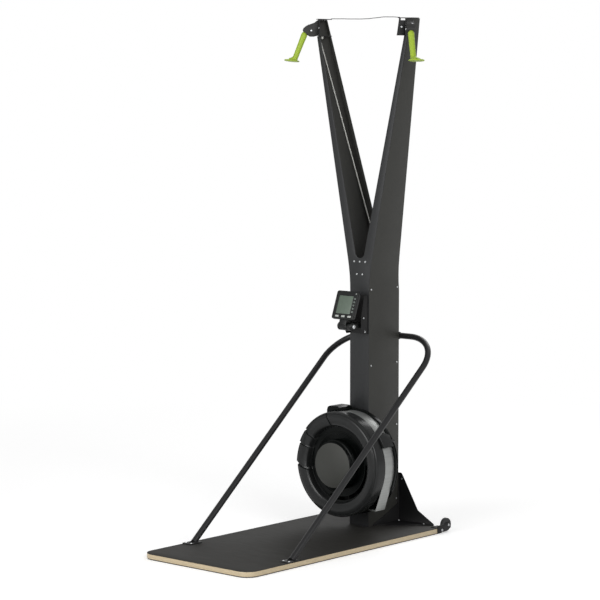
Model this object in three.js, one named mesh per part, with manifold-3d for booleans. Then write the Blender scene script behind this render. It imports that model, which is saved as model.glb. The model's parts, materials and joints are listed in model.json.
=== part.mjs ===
// Ski ergometer on a floor stand, in millimetres, +Z up.
// The user stands on the deck and faces +Y, and +X is the user's right.
// Heights are measured from the floor, and Y from the deck's front edge until the
// whole machine is moved so that its origin is under the middle of its outline.
import * as THREE from 'three';
import { mergeVertices } from 'three/addons/utils/BufferGeometryUtils.js';
import Module from 'manifold-3d';

const wasm = await Module();
wasm.setup();

// General clearances
const gap = 0.3;
const overrun = 20;
const weldTolerance = 0.0005;
const half = 0.5;
const quarterTurn = Math.PI / 2;

// How many straight sides stand in for a circle, and steps for part of one
const pinSides = 16;
const roundSides = 24;
const flywheelSides = 40;
const housingSides = 60;
const pulleySides = 18;
const handleSides = 20;
const braceSides = 12;
const cordSides = 8;
const halfTurnSteps = 8;
const deckCornerSteps = 6;
const smallCornerSteps = 3;

// Overall, with the transport wheels behind the deck
const totalLength = 1270;
const wheelRadius = 28;
const wheelDeckClear = 2;
const wheelFloorClear = 2;

// Deck
const deckWidth = 584;
const deckLength = totalLength - 2 * wheelRadius - wheelDeckClear;
const deckFrontCorner = 55;
const deckRearCorner = 14;
const padThickness = 3.4;
const padInset = 2;
const boardThickness = 19;
const sheetThickness = 1;
const deckTop = padThickness + boardThickness + sheetThickness + 2 * gap;

// Column and arms, made of folded sheet
const sheet = 2.5;
const columnWidth = 102.4;
const columnSetback = 208;
const columnFront = deckLength - columnSetback;
const columnDepth = 200;
const columnRear = columnFront + columnDepth;
const bendHeight = 1083;
const bendRun = 140;
const bendStart = bendHeight - bendRun * half;
const bendEnd = bendHeight + bendRun * half;
const armTop = 2153;
const armReach = 207;
const armLean = 9;
const armTaper = 127;
const armOuter = columnWidth * half + armReach;
const armFront = columnFront + armLean;
const stripDrop = 70;
const stripTop = armTop - stripDrop;
const flangeFromMiddle = 5.2;
const flangeAtCrotch = columnWidth * half - flangeFromMiddle;
const flangeAtTop = 15;
const notchRaise = 6;
const notchHeight = bendEnd + notchRaise;
const notchRise = 20;
const lipWidth = 12;
const crotchPlateDrop = 9;
const crotchPlateBottom = bendHeight - crotchPlateDrop;
const crotchPlateLow = 1;
const crotchPlateTop = bendEnd - crotchPlateLow;
const crotchPlateInset = 17.2;
const crotchPlateHalfWidth = columnWidth * half - crotchPlateInset;
const crotchPlateThickness = 4;
const footPlateThickness = 4;
const footTabHeight = 45;
const footTabThickness = 3;
const footMargin = 6;

// Rear bracket that ties the column to the deck
const bracketSheet = 3;
const bracketTop = 231;
const bracketTopReach = 14.8;
const bracketTopHalfWidth = columnWidth * half + bracketTopReach;
const bracketShoulderStep = [8, 10];
const bracketShoulder = [bracketTopHalfWidth + bracketShoulderStep[0], bracketTop - bracketShoulderStep[1]];
const bracketToeInset = 49;
const bracketToeHeight = 7;
const bracketToe = [deckWidth * half - bracketToeInset, deckTop + bracketToeHeight];
const bracketKneeStep = [86, 49];
const bracketKnee = [bracketToe[0] - bracketKneeStep[0], bracketToe[1] + bracketKneeStep[1]];
const bracketFlangeSetback = 56;
const bracketFlangeFront = columnFront + bracketFlangeSetback;
const bracketFlangeReach = [63.8, 26];
const bracketFlangeMiddle = [columnWidth * half + bracketFlangeReach[0],
  bracketFlangeFront + bracketFlangeReach[1]];
const bracketFlangeEnd = [28, 16];
const bracketFlangeRear = [bracketToe[0] - bracketFlangeEnd[0], columnRear - bracketFlangeEnd[1]];
const sideFlangeSetback = 31;
const sideFlangeFront = columnFront + sideFlangeSetback;
const sideFlangeNose = 6;
const sideFlangeKnee = [71, 45];
const sideFlangeMiddle = [columnRear - sideFlangeKnee[0], deckTop + sideFlangeKnee[1]];
const sideFlangeEnd = [7, 76];
const sideFlangeRear = [columnRear - sideFlangeEnd[0], deckTop + sideFlangeEnd[1]];

// Transport wheels
const wheelWidth = 20;
const wheelAxleRadius = 6;
const wheelBore = wheelAxleRadius + gap;
const wheelCentre = [totalLength - wheelRadius, wheelRadius + wheelFloorClear];
const wheelTreadInset = 3;
const wheelSideGap = 4;
const wheelPlateHold = 44;
const wheelPlateFront = deckLength - wheelPlateHold;
const wheelPlateEnd = [15, 13];
const wheelPlateRear = wheelCentre[0] + wheelPlateEnd[0];
const wheelPlateLow = 5;
const wheelPlateRise = 12;
const wheelPlateHigh = deckTop + wheelPlateRise;
const wheelPlateEndLow = wheelCentre[1] - wheelPlateEnd[1];
const wheelFlangeWidth = 34;
const axleHeadRadius = 9;
const axleHeadLength = 3;

// Brace tubes from the back of the column down to the deck
const braceDiameter = 25.4;
const braceDrop = 195;
const braceHeight = bendStart - braceDrop;
const footInset = 25;
const footHalfSpan = deckWidth * half - footInset;
const braceSpread = 4;
const braceHalfSpan = footHalfSpan + braceSpread;
const braceFootY = 277;
const braceBendRadius = 165;
const braceBendSteps = 12;
const footPlateWidth = 46;
const footPlateSheet = 4;
const footPlateForward = 44;
const footPlateRearward = 24;
const clampHalfWidth = 44;
const clampSheet = 3;
const clampFlange = 16;

// Cords
const cordDiameter = 4;
const shockDiameter = 6;
const cordStep = Math.PI / 10;
const cordFall = 0.262;
const cordRoom = 1.5;
const cordEntryDrop = 6;
const tieDiameter = 3;
const tieSag = 3.5;
const tieLift = 2.4;
const tieLeftInset = 6;
const tieRightInset = 12;
// The tie cable's shape, as shares of its run and of its sag
const tieShares = [
  [0, 0], [0.15, 0.25], [0.3, 0.7], [0.45, 1], [0.55, 0.85], [0.65, 0.1], [0.78, -0.85], [0.9, -0.6], [1, 0],
];

// Top pulleys, each in a housing that points forward and outward
const pulleyTurn = Math.PI / 4;
const pulleyFromArm = [10.3, 11.5, 45];
const pulleyCentre = [armOuter + pulleyFromArm[0], armFront - pulleyFromArm[1], armTop - pulleyFromArm[2]];
const pulleyPitch = 20;
const pulleyLip = 2.6;
const pulleyRim = pulleyPitch + pulleyLip;
const pulleyWidth = 12;
const pulleyPin = 4;
const pulleyBore = pulleyPin + gap;
const grooveWidth = 7;
const pulleySideClear = 1.5;
const pulleyRimClear = 1.9;
const housingCavity = pulleyWidth * half + pulleySideClear;
const housingCavityRadius = pulleyRim + pulleyRimClear;
const housingWall = 7.5;
const housingHalfWidth = housingCavity + housingWall;
const pinHeadRadius = 6;
const pinHeadLength = 2.5;
const housingRear = -31;
const housingTopRear = 45;
const housingRearFoot = -21.5;
// Outline of the housing's side, from its top rear corner round the nose to its lower rear corner
const housingOutline = [
  [housingRear, housingTopRear], [-24.7, 41], [-14.3, 33], [3.1, 27], [20.5, 19.5], [31, 10.5],
  [34.6, 2], [33.4, -3], [14, -19.5], [5, -25.6], [-10.8, -26], [housingRear, housingRearFoot],
];
const housingWellTop = 10;
const exitHalfDepth = 6;
const exitHalfWidth = 7.3;
const handleLean = THREE.MathUtils.degToRad(21.5);

// Sheet bracket between each arm's end and its pulley housing
const topSheet = 3;
const topBracketHold = 45.2;
const topBracketInner = armOuter - topBracketHold;
const topBracketForward = 23;
const topBracketFront = armFront - topBracketForward;
const topBracketRearward = 59;
const topBracketRear = armFront + topBracketRearward;
const topWallReach = 42;
const topWallFootReach = 52;
const topWindowFrom = -35.5;
const topWindowTo = -17.5;
const topWindowHeight = 8;
const topFlangeLip = 6;

// Handles: an oval grip with a round foot that reaches outward
const handleStart = 21;
const gripLength = 130;
const gripTopRadius = 13.5;
const gripWaistRadius = 12;
const gripBottomRadius = 12;
const gripTopRound = 5;
const gripFlatShare = 0.8;
const flareRadius = 19;
const flareHeight = 20;
const flareForward = 6;
const flareAcross = 8;
const palmRadius = 31.8;
const palmEdge = 3;
const palmThickness = 7;
const palmRoot = 6.5;
const palmForward = 9.5;
const palmAcross = 11.3;
const palmTilt = THREE.MathUtils.degToRad(15.5);
const palmRoll = THREE.MathUtils.degToRad(4);

// Idler pulleys at the foot of the arms, and return pulleys for the shock cords
const idlerRaise = 17;
const idlerHeight = bendHeight + idlerRaise;
const coverAboveIdler = 49;
const coverTop = idlerHeight + coverAboveIdler;
const idlerSetback = 34;
const idlerPlane = columnRear - idlerSetback;
const idlerOffset = 27;
const idlerPitch = 15;
const idlerLip = 3;
const idlerRim = idlerPitch + idlerLip;
const idlerWidth = 11;
const idlerPin = 4;
const idlerBore = idlerPin + gap;
const idlerHead = 7;
const idlerHeadLength = 2;
const returnDrop = 113;
const returnHeight = bendStart - returnDrop;
const returnPitch = 11;
const returnLip = 3.5;
const returnRim = returnPitch + returnLip;
const returnWidth = 10;
const returnPlateHeight = 70;
const returnPlateThickness = 5;

// Flywheel housing, in front of the column. Its own frame has +Z towards the user
const hubHeight = 303;
const housingRadius = 222;
const shellWall = 11;
const shellInner = housingRadius - shellWall;
const flywheelClear = 21;
const flywheelRadius = shellInner - flywheelClear;
const rearPlateFront = 14;
const rearPlateBack = 11;
const rearRingFront = 31;
const bearingSeat = 20;
const bearingOuter = bearingSeat - gap;
const rearHubWall = 8;
const rearHubRadius = bearingSeat + rearHubWall;
const rearHubBack = 3;
const rearHubFront = 20;
const axleRadius = 8;
const axleBore = axleRadius + gap;
const axleRearClear = 13;
const axleBack = axleRearClear - columnDepth;
const standoffRadius = 9;
const standoffX = 34;
const standoffZ = 62;
const bandInset = 6.6;
const bandInner = housingRadius - bandInset;
const bandSheet = 1.6;
const bandOuter = bandInner + bandSheet;
const bandRelease = THREE.MathUtils.degToRad(-19);
const bandEnd = THREE.MathUtils.degToRad(231);
const bandRun = 120;
const lugReach = 39;
const skirtStart = THREE.MathUtils.degToRad(232);
const skirtEnd = THREE.MathUtils.degToRad(308);
const skirtThickness = 3;
const topBlockSides = [-90, -14];
const topBlockRise = 15;
const topBlockHeight = housingRadius + topBlockRise;
const topBlockTall = 36;
const topBlockFoot = topBlockHeight - topBlockTall;
const topBlockCorner = 17;
const blockLift = 0.8;
const arcStep = THREE.MathUtils.degToRad(5);

// Front shell of the flywheel housing, as radius and height above the column
const shellFront = 152;
const shellInnerDrop = 6;
const shellShoulderDrop = 3;
const shellGrooveDrop = 6;
const shellRingDrop = 3.6;
const shellRoundDrop = 9;
const shellEdgeDrop = 16;
const shellStepDrop = 48;
const shellDepth = 61.7;
const shellFrontInner = shellFront - shellInnerDrop;
const shellShoulder = shellFront - shellShoulderDrop;
const shellGroove = shellFront - shellGrooveDrop;
const shellRing = shellFront - shellRingDrop;
const shellRound = shellFront - shellRoundDrop;
const shellSideTop = shellFront - shellEdgeDrop;
const shellStep = shellFront - shellStepDrop;
const shellRear = shellFront - shellDepth;
const crestInset = 27;
const shoulderInset = 11;
const grooveInset = 9;
const ringInset = 7;
const roundInset = 1.4;
const stepInset = 3;
const rimWidth = 57;
const crestRadius = housingRadius - crestInset;
const shoulderRadius = housingRadius - shoulderInset;
const grooveRadius = housingRadius - grooveInset;
const ringRadius = housingRadius - ringInset;
const roundRadius = housingRadius - roundInset;
const stepRadius = housingRadius - stepInset;
const recessTopRadius = housingRadius - rimWidth;
const recessSlope = 8;
const recessFloorRadius = recessTopRadius - recessSlope;
const recessDepth = 30;
const recessFloor = shellFront - recessDepth;
const floorThickness = 3;
const hubWallInner = 101;
const hubWall = 4;
const hubWallOuter = hubWallInner + hubWall;
const hubWallDrop = 2;
const hubWallTop = shellFront - hubWallDrop;
const hubPlateRise = 5;
const hubPlateTop = recessFloor + hubPlateRise;
const shellInside = shellSideTop;
const shellFrontWall = 12;
const shellInsideCrest = shellFront - shellFrontWall;
const insideCrestRun = 7;
const insideCrestRadius = recessTopRadius + insideCrestRun;
const bandFront = shellRear - gap;
const topBlockSetback = 48.6;
const topBlockFront = shellFront - topBlockSetback;
const axleFrontDrop = 12;
const axleFront = shellFront - axleFrontDrop;
// Louvre steps in the front face: where each ends at the rim and at the recess, and its drop
const louvreRim = [104, 141.4, 159.1, 181].map(THREE.MathUtils.degToRad);
const louvreRecess = [98.6, 140.9, 157.4, 190].map(THREE.MathUtils.degToRad);
const louvreDrop = [1.2, 2.4, 3.6];
const ventMargin = 4;
const ventInnerRadius = hubWallOuter + ventMargin;
const ventOuterRadius = recessFloorRadius - ventMargin;
const ventFrom = THREE.MathUtils.degToRad(-112);
const ventTo = THREE.MathUtils.degToRad(4);
const ventTaperShare = 15 / 22;
const ventTaper = (ventOuterRadius - ventInnerRadius) * ventTaperShare;

// Round cap over the flywheel's hub
const capProud = 22;
const capFront = shellFront + capProud;
const capEdge = 2.5;
const capOverhang = 0.5;
const capRimRadius = hubWallOuter + capOverhang;
const capRimHeight = 5;
const capRimFront = shellFront + capRimHeight;
const capWaistStep = [10.5, 4];
const capWaistRadius = capRimRadius - capWaistStep[0];
const capWaistFront = capRimFront + capWaistStep[1];
const capDraft = 4;
const capFaceRadius = capWaistRadius - capDraft;
const capWall = 3;

// Damper ring with its lever
const damperClear = 11;
const damperOuter = shellInner - damperClear;
const damperRingWidth = 50;
const damperInner = damperOuter - damperRingWidth;
const damperBack = 15;
const damperThickness = 3;
const leverAngle = THREE.MathUtils.degToRad(28);
const leverHalfWidth = 24;
const leverPeak = 42;
const leverNeck = 12;
const leverClear = 2;
const leverInner = housingRadius + leverClear;
const leverThickness = 9;
const leverOuter = leverInner + leverThickness;
const leverClearBack = 3;
const leverBack = rearRingFront + leverClearBack;
const leverLength = 64;
const leverFront = leverBack + leverLength;
const damperTravel = THREE.MathUtils.degToRad(50);
const slotMargin = THREE.MathUtils.degToRad(3);
const slotClearance = 0.7;

// Flywheel
const flywheelDiscBack = 60;
const flywheelDiscThickness = 6;
const flywheelHubRadius = 30;
const flywheelHubReach = 12;
const flywheelHubBack = flywheelDiscBack - flywheelHubReach;
const flywheelHubClear = 14;
const flywheelHubFront = recessFloor - flywheelHubClear;
const vaneCount = 18;
const vaneInner = 80;
const vaneClear = 24;
const vaneFront = recessFloor - vaneClear;
const vaneThickness = 3;

// Cord drums on the flywheel's axle, inside the column
const drumPitch = 30;
const drumRim = 38;
const drumFlange = 3;
const drumBarrel = 28;
const spoolPitch = 19;
const returnOffset = spoolPitch + returnPitch;
const spoolRim = 25;
const spoolBarrel = 9;
const drumLength = 3 * drumFlange + drumBarrel + spoolBarrel;
const drumSetback = 60;
const drumSpace = 6;
const drumStart = [-drumSetback, -drumSetback - drumLength - drumSpace];
const supportRadius = 16;
const supportLength = 14;

// Monitor in front of the column
const monitorWidth = 115;
const monitorHeight = 122;
const monitorDepth = 22;
const monitorTilt = THREE.MathUtils.degToRad(20.2);
const mountPlateDrop = 7;
const mountPlateTop = bendStart - mountPlateDrop;
const monitorFromMount = [93.5, 37.5];
const monitorCentre = [columnFront - monitorFromMount[0], mountPlateTop - monitorFromMount[1]];
const monitorCorner = 9;
const monitorBackInset = 5;
const monitorRim = 10;
const strapRise = 15;
const screenMargins = [38, 44];
const screenWidth = monitorWidth - screenMargins[0];
const screenHeight = monitorHeight - screenMargins[1];
const screenCentre = [-2.5, 1.5];
const screenRecess = 2.5;
const screenThickness = 1.6;
const keyDepth = 5;
const keyProud = 1.2;
const keyClear = 0.35;
const keyCorner = 2;
const menuKey = [18, 8];
const menuKeyRaise = 12.5;
const menuKeyY = menuKeyRaise - monitorHeight * half;
const menuKeyPlaces = [-30, 3, 37];
const sideKey = [9, 8];
const sideKeyInset = 11.5;
const sideKeyX = monitorWidth * half - sideKeyInset;
const sideKeyPitch = 14;
const sideKeyCount = 5;
const sideKeyTop = 29;
const yokeFromMount = [92, 126];
const yokeCentre = [columnFront - yokeFromMount[0], mountPlateTop - yokeFromMount[1]];
const yokeRadius = 17;
const cheekInset = 2.7;
const cheekHalfSpan = columnWidth * half - cheekInset;
const yokeEnds = [4.5, 14.5];
const yokeRight = cheekHalfSpan - yokeEnds[0];
const yokeLeft = cheekHalfSpan - yokeEnds[1];
const yokeEndRound = 5;
const yokeArmWidth = 6;
const yokeArmSetback = 34;
const yokeArmBack = columnFront - yokeArmSetback;
const neckHalfWidth = 19;
const neckClear = 1.5;
const cheekThickness = 3;
const mountPlateHeight = 164;
const mountPlateBottom = mountPlateTop - mountPlateHeight;
const mountPlateThickness = 3;
const cheekDepths = [46, 28];
const cheekFront = columnFront - cheekDepths[0];
const cheekTop = columnFront - cheekDepths[1];
const cheekNoseHeight = 18;
const pivotRadius = 5;
const pivotHeadRadius = 8.5;
const pivotHeadLength = 4;
const lugClear = 0.6;

// Colours as they look in daylight
const finish = {
  frame: { color: 0x3a3b3a, roughness: 0.55, metalness: 0.2 },
  frameFront: { color: 0x343637, roughness: 0.55, metalness: 0.2 },
  black: { color: 0x1b1b1c, roughness: 0.5, metalness: 0.1 },
  tube: { color: 0x232324, roughness: 0.65, metalness: 0.2 },
  deck: { color: 0x3a3936, roughness: 0.7, metalness: 0 },
  plywood: { color: 0xd9c09a, roughness: 0.6, metalness: 0 },
  rubber: { color: 0x1e1e1e, roughness: 0.9, metalness: 0 },
  grip: { color: 0xa9c32f, roughness: 0.5, metalness: 0 },
  cord: { color: 0xd8d8d4, roughness: 0.8, metalness: 0 },
  shock: { color: 0x2a2a2e, roughness: 0.8, metalness: 0 },
  plastic: { color: 0x2c2d2e, roughness: 0.45, metalness: 0 },
  nylon: { color: 0x4a4a4a, roughness: 0.5, metalness: 0 },
  steel: { color: 0xb8babb, roughness: 0.35, metalness: 0.9 },
  screenMesh: { color: 0x9a9c9b, roughness: 0.5, metalness: 0.6 },
  display: { color: 0x7f8f7c, roughness: 0.25, metalness: 0 },
  key: { color: 0xd5d8d6, roughness: 0.5, metalness: 0 },
};

// Merges equal corners and drops triangles that have no area
function clean(geometry) {
  const bare = geometry.clone();
  bare.deleteAttribute('normal');
  bare.deleteAttribute('uv');
  const merged = mergeVertices(bare, weldTolerance);
  const source = merged.index.array;
  const kept = [];
  for (let i = 0; i < source.length; i += 3) {
    const [a, b, c] = [source[i], source[i + 1], source[i + 2]];
    if (a !== b && b !== c && c !== a) kept.push(a, b, c);
  }
  merged.setIndex(kept);
  return outward(merged);
}

// Turns every triangle round when the closed surface faces inward
function outward(geometry) {
  const p = geometry.attributes.position;
  const t = geometry.index.array;
  const [a, b, c] = [new THREE.Vector3(), new THREE.Vector3(), new THREE.Vector3()];
  let volume = 0;
  for (let i = 0; i < t.length; i += 3) {
    a.fromBufferAttribute(p, t[i]);
    b.fromBufferAttribute(p, t[i + 1]);
    c.fromBufferAttribute(p, t[i + 2]);
    volume += a.dot(b.cross(c));
  }
  if (volume >= 0) return geometry;
  const turned = Array.from(t);
  for (let i = 0; i < turned.length; i += 3) [turned[i], turned[i + 1]] = [turned[i + 1], turned[i]];
  geometry.setIndex(turned);
  return geometry;
}

function toSolid(geometry) {
  const g = clean(geometry);
  return new wasm.Manifold(new wasm.Mesh({
    numProp: 3,
    vertProperties: new Float32Array(g.attributes.position.array),
    triVerts: new Uint32Array(g.index.array),
  }));
}

function toGeometry(solid) {
  const mesh = solid.getMesh();
  const geometry = new THREE.BufferGeometry();
  geometry.setAttribute('position', new THREE.BufferAttribute(new Float32Array(mesh.vertProperties), 3));
  geometry.setIndex(Array.from(mesh.triVerts));
  return geometry;
}

function join(first, ...rest) {
  return toGeometry(rest.reduce((sum, g) => sum.add(toSolid(g)), toSolid(first)));
}

function cut(first, ...tools) {
  return toGeometry(tools.reduce((left, g) => left.subtract(toSolid(g)), toSolid(first)));
}

function common(first, second) {
  return toGeometry(toSolid(first).intersect(toSolid(second)));
}

// A mirrored copy across the machine's middle plane
function mirrored(geometry) {
  return clean(geometry.clone().applyMatrix4(new THREE.Matrix4().makeScale(-1, 1, 1)));
}

function block(x0, x1, y0, y1, z0, z1) {
  const size = new THREE.BoxGeometry(x1 - x0, y1 - y0, z1 - z0);
  return size.translate((x0 + x1) * half, (y0 + y1) * half, (z0 + z1) * half);
}

// A flat plate with a given outline, standing on z0
function slab(points, z0, thickness) {
  const outline = new THREE.Shape(points.map(([x, y]) => new THREE.Vector2(x, y)));
  const plate = new THREE.ExtrudeGeometry(outline, { depth: thickness, bevelEnabled: false });
  return plate.translate(0, 0, z0);
}

// A plate whose outline is in X and Z, from y0 backwards
function wall(points, y0, thickness) {
  return slab(points, 0, thickness).rotateX(quarterTurn).translate(0, y0 + thickness, 0);
}

// A plate whose outline is in Y and Z, from x0 outwards
function sidePlate(points, x0, thickness) {
  const turn = new THREE.Matrix4().makeBasis(
    new THREE.Vector3(0, 1, 0), new THREE.Vector3(0, 0, 1), new THREE.Vector3(1, 0, 0));
  return slab(points, 0, thickness).applyMatrix4(turn).translate(x0, 0, 0);
}

function rod(radius, from, to, sides = pinSides) {
  const [a, b] = [new THREE.Vector3(...from), new THREE.Vector3(...to)];
  const along = b.clone().sub(a);
  const g = new THREE.CylinderGeometry(radius, radius, along.length(), sides);
  g.applyQuaternion(new THREE.Quaternion().setFromUnitVectors(
    new THREE.Vector3(0, 1, 0), along.clone().normalize()));
  const middle = a.add(b).multiplyScalar(half);
  return g.translate(middle.x, middle.y, middle.z);
}

// A turned piece about Z, from a closed profile of radius and height
function turned(profile, sides) {
  const loop = profile.map(([r, z]) => new THREE.Vector2(r, z));
  const onAxis = profile[0][0] === 0 && profile[profile.length - 1][0] === 0;
  if (!onAxis) loop.push(loop[0].clone());
  return clean(new THREE.LatheGeometry(loop, sides).rotateX(quarterTurn));
}

function washer(inner, outer, z0, z1, sides) {
  return turned([[inner, z0], [outer, z0], [outer, z1], [inner, z1]], sides);
}

function arcPoints(radius, from, to, step = arcStep) {
  const count = Math.max(2, Math.ceil(Math.abs(to - from) / step));
  return Array.from({ length: count + 1 }, (_, i) => {
    const angle = from + (to - from) * i / count;
    return [radius * Math.cos(angle), radius * Math.sin(angle)];
  });
}

// A curved wall between two radii and two angles
function arcWall(inner, outer, from, to, z0, z1) {
  return slab([...arcPoints(outer, from, to), ...arcPoints(inner, to, from)], z0, z1 - z0);
}

// A stack of like outlines at rising heights, joined by straight sides
function loft(layers) {
  const first = layers[0].points;
  const outline = new THREE.Shape(first.map(([x, y]) => new THREE.Vector2(x, y)));
  const g = new THREE.ExtrudeGeometry(outline, {
    depth: layers.length - 1, steps: layers.length - 1, bevelEnabled: false,
  });
  const p = g.attributes.position;
  for (let i = 0; i < p.count; i += 1) {
    const index = first.findIndex(([x, y]) => Math.hypot(x - p.getX(i), y - p.getY(i)) < weldTolerance);
    const layer = layers[Math.round(p.getZ(i))];
    p.setXYZ(i, ...layer.points[index], layer.z);
  }
  return clean(g);
}

// A route through chosen points, with its cross sections square to the mean direction
class Route extends THREE.Curve {
  constructor(points) {
    super();
    this.points = points.map((p) => (p.isVector3 ? p : new THREE.Vector3(...p)));
  }

  getPoint(t, target = new THREE.Vector3()) {
    const place = t * (this.points.length - 1);
    const index = Math.min(Math.floor(place), this.points.length - 2);
    return target.copy(this.points[index]).lerp(this.points[index + 1], place - index);
  }

  getPointAt(u, target) {
    return this.getPoint(u, target);
  }

  getTangentAt(u, target = new THREE.Vector3()) {
    const index = Math.round(u * (this.points.length - 1));
    const here = this.points[index];
    const before = this.points[Math.max(index - 1, 0)];
    const after = this.points[Math.min(index + 1, this.points.length - 1)];
    const arriving = here.clone().sub(before).normalize();
    const leaving = after.clone().sub(here).normalize();
    return target.copy(arriving.add(leaving).normalize());
  }
}

function tube(points, radius, sides) {
  const section = new THREE.Shape(arcPoints(radius, 0, 2 * Math.PI, 2 * Math.PI / sides)
    .slice(0, sides).map(([x, y]) => new THREE.Vector2(x, y)));
  const route = new Route(points);
  return clean(new THREE.ExtrudeGeometry(section, {
    steps: route.points.length - 1, bevelEnabled: false, extrudePath: route,
  }));
}

// The points of a round bend at a corner between two straight runs
function bendPoints(from, corner, to, radius, steps) {
  const back = from.clone().sub(corner).normalize();
  const on = to.clone().sub(corner).normalize();
  const turn = Math.acos(-back.dot(on));
  const setback = radius * Math.tan(turn * half);
  const centre = back.clone().add(on).normalize().multiplyScalar(Math.hypot(radius, setback)).add(corner);
  const start = back.clone().multiplyScalar(setback).add(corner).sub(centre);
  const axis = on.clone().cross(back).normalize();
  return Array.from({ length: steps + 1 }, (_, i) => (
    start.clone().applyAxisAngle(axis, turn * i / steps).add(centre)));
}

const machine = new THREE.Group();
machine.position.y = -totalLength * half;

// Adds a named piece in its own finish to a group
function add(group, name, geometry, look) {
  const g = clean(geometry).toNonIndexed();
  g.computeVertexNormals();
  const mesh = new THREE.Mesh(g, new THREE.MeshStandardMaterial(look));
  mesh.name = name;
  group.add(mesh);
}

const sides = [['right', 1], ['left', -1]];

// Adds a right-hand piece and its mirror image
function addPair(name, geometry, look) {
  add(machine, `${name}_right`, geometry, look);
  add(machine, `${name}_left`, mirrored(geometry), look);
}

// The arms' outer face, front face and rear face at a height
const armSlope = armReach / (armTop - bendHeight);
const leanSlope = armLean / (armTop - bendStart);
const taperSlope = armTaper / (armTop - bendStart);

function outerAt(z) {
  const rise = z - bendStart;
  if (rise <= 0) return columnWidth * half;
  if (rise < bendRun) return columnWidth * half + armSlope * rise * rise / (2 * bendRun);
  return columnWidth * half + armSlope * (z - bendHeight);
}

function frontAt(z) {
  return columnFront + leanSlope * Math.max(0, z - bendStart);
}

function rearAt(z) {
  return columnRear - taperSlope * Math.max(0, z - bendStart);
}

function flangeAt(z) {
  const share = Math.max(0, (z - notchHeight) / (armTop - notchHeight));
  return flangeAtCrotch + (flangeAtTop - flangeAtCrotch) * share;
}

// Heights at which the bent stretch is divided
const bendShares = [0, 0.25, 0.5, 0.75, 1];
const bendHeights = bendShares.map((share) => bendStart + bendRun * share);

function deckOutline(inset) {
  const x = deckWidth * half - inset;
  const [y0, y1] = [inset, deckLength - inset];
  const corner = (cx, cy, radius, from) => (
    arcPoints(radius, from, from + quarterTurn, quarterTurn / deckCornerSteps)
      .map(([a, b]) => [cx + a, cy + b]));
  const [front, rear] = [deckFrontCorner - inset, deckRearCorner - inset];
  return [
    ...corner(x - rear, y1 - rear, rear, 0),
    ...corner(-x + rear, y1 - rear, rear, quarterTurn),
    ...corner(-x + front, y0 + front, front, 2 * quarterTurn),
    ...corner(x - front, y0 + front, front, 3 * quarterTurn),
  ];
}

function addDeck() {
  const boardBottom = padThickness + gap;
  add(machine, 'deck_pad', slab(deckOutline(padInset), 0, padThickness), finish.rubber);
  add(machine, 'deck_board', slab(deckOutline(0), boardBottom, boardThickness), finish.plywood);
  add(machine, 'deck_sheet', slab(deckOutline(0), deckTop - sheetThickness, sheetThickness), finish.deck);
}

function addFrontPanel() {
  const bottom = deckTop + gap;
  const x = columnWidth * half;
  const lower = block(-x, x, columnFront, columnFront + sheet, bottom, bendStart);
  const bend = bendHeights.map((z) => [outerAt(z), z]);
  const inner = (z) => outerAt(z) - flangeAt(z);
  const notchTop = notchHeight + notchRise;
  const notch = arcPoints(1, 0, Math.PI, Math.PI / halfTurnSteps)
    .map(([c, s]) => [c * inner(notchTop), notchTop - s * notchRise]);
  const edge = [...bend, [outerAt(stripTop), stripTop], [inner(stripTop), stripTop]];
  const outline = [...edge, ...notch, ...edge.map(([a, z]) => [-a, z]).reverse()];
  const shear = new THREE.Matrix4().makeShear(0, 0, 0, 0, 0, leanSlope);
  const upper = wall(outline, columnFront, sheet).translate(0, 0, -bendStart);
  upper.applyMatrix4(shear).translate(0, 0, bendStart);
  const shaftHole = rod(bearingOuter, [0, columnFront - overrun, hubHeight],
    [0, columnFront + overrun, hubHeight], roundSides);
  add(machine, 'front_panel', cut(join(lower, upper), shaftHole), finish.frameFront);
}

// One side of the frame: a channel that opens to the middle, with a narrow front lip
function channelSection(z) {
  const x = outerAt(z);
  const front = frontAt(z) + sheet + gap;
  const rear = rearAt(z);
  const flange = flangeAt(z);
  return {
    z,
    points: [
      [x, front], [x, rear], [x - flange, rear], [x - flange, rear - sheet], [x - sheet, rear - sheet],
      [x - sheet, front + sheet], [x - lipWidth, front + sheet], [x - lipWidth, front],
    ],
  };
}

function inPulleyFrame(geometry) {
  return geometry.rotateZ(-pulleyTurn).translate(...pulleyCentre);
}

// Space that the arm's end leaves for the pulley housing and for the bracket's upright wall
function topRooms() {
  const [low, high] = [housingRearFoot - topSheet - 2 * gap, housingTopRear + overrun];
  const outer = housingHalfWidth + gap;
  return {
    housingRoom: inPulleyFrame(block(housingRear - gap, overrun, -outer, outer, low, high)),
    wallRoom: inPulleyFrame(block(housingRear - topSheet - 3 * gap, housingRear,
      -topWallFootReach - gap, -housingHalfWidth + gap, low, high)),
  };
}

function addSidePanels() {
  const heights = [deckTop + gap, ...bendHeights, notchHeight, armTop];
  const channel = loft(heights.map(channelSection));
  const { housingRoom, wallRoom } = topRooms();
  const lipRoom = block(0, outerAt(armTop) - sheet - gap, frontAt(armTop) - overrun,
    frontAt(armTop) + 2 * sheet + gap, stripTop, armTop + overrun);
  addPair('side_panel', cut(channel, housingRoom, wallRoom, lipRoom, cordWay()), finish.frame);
}

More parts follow.
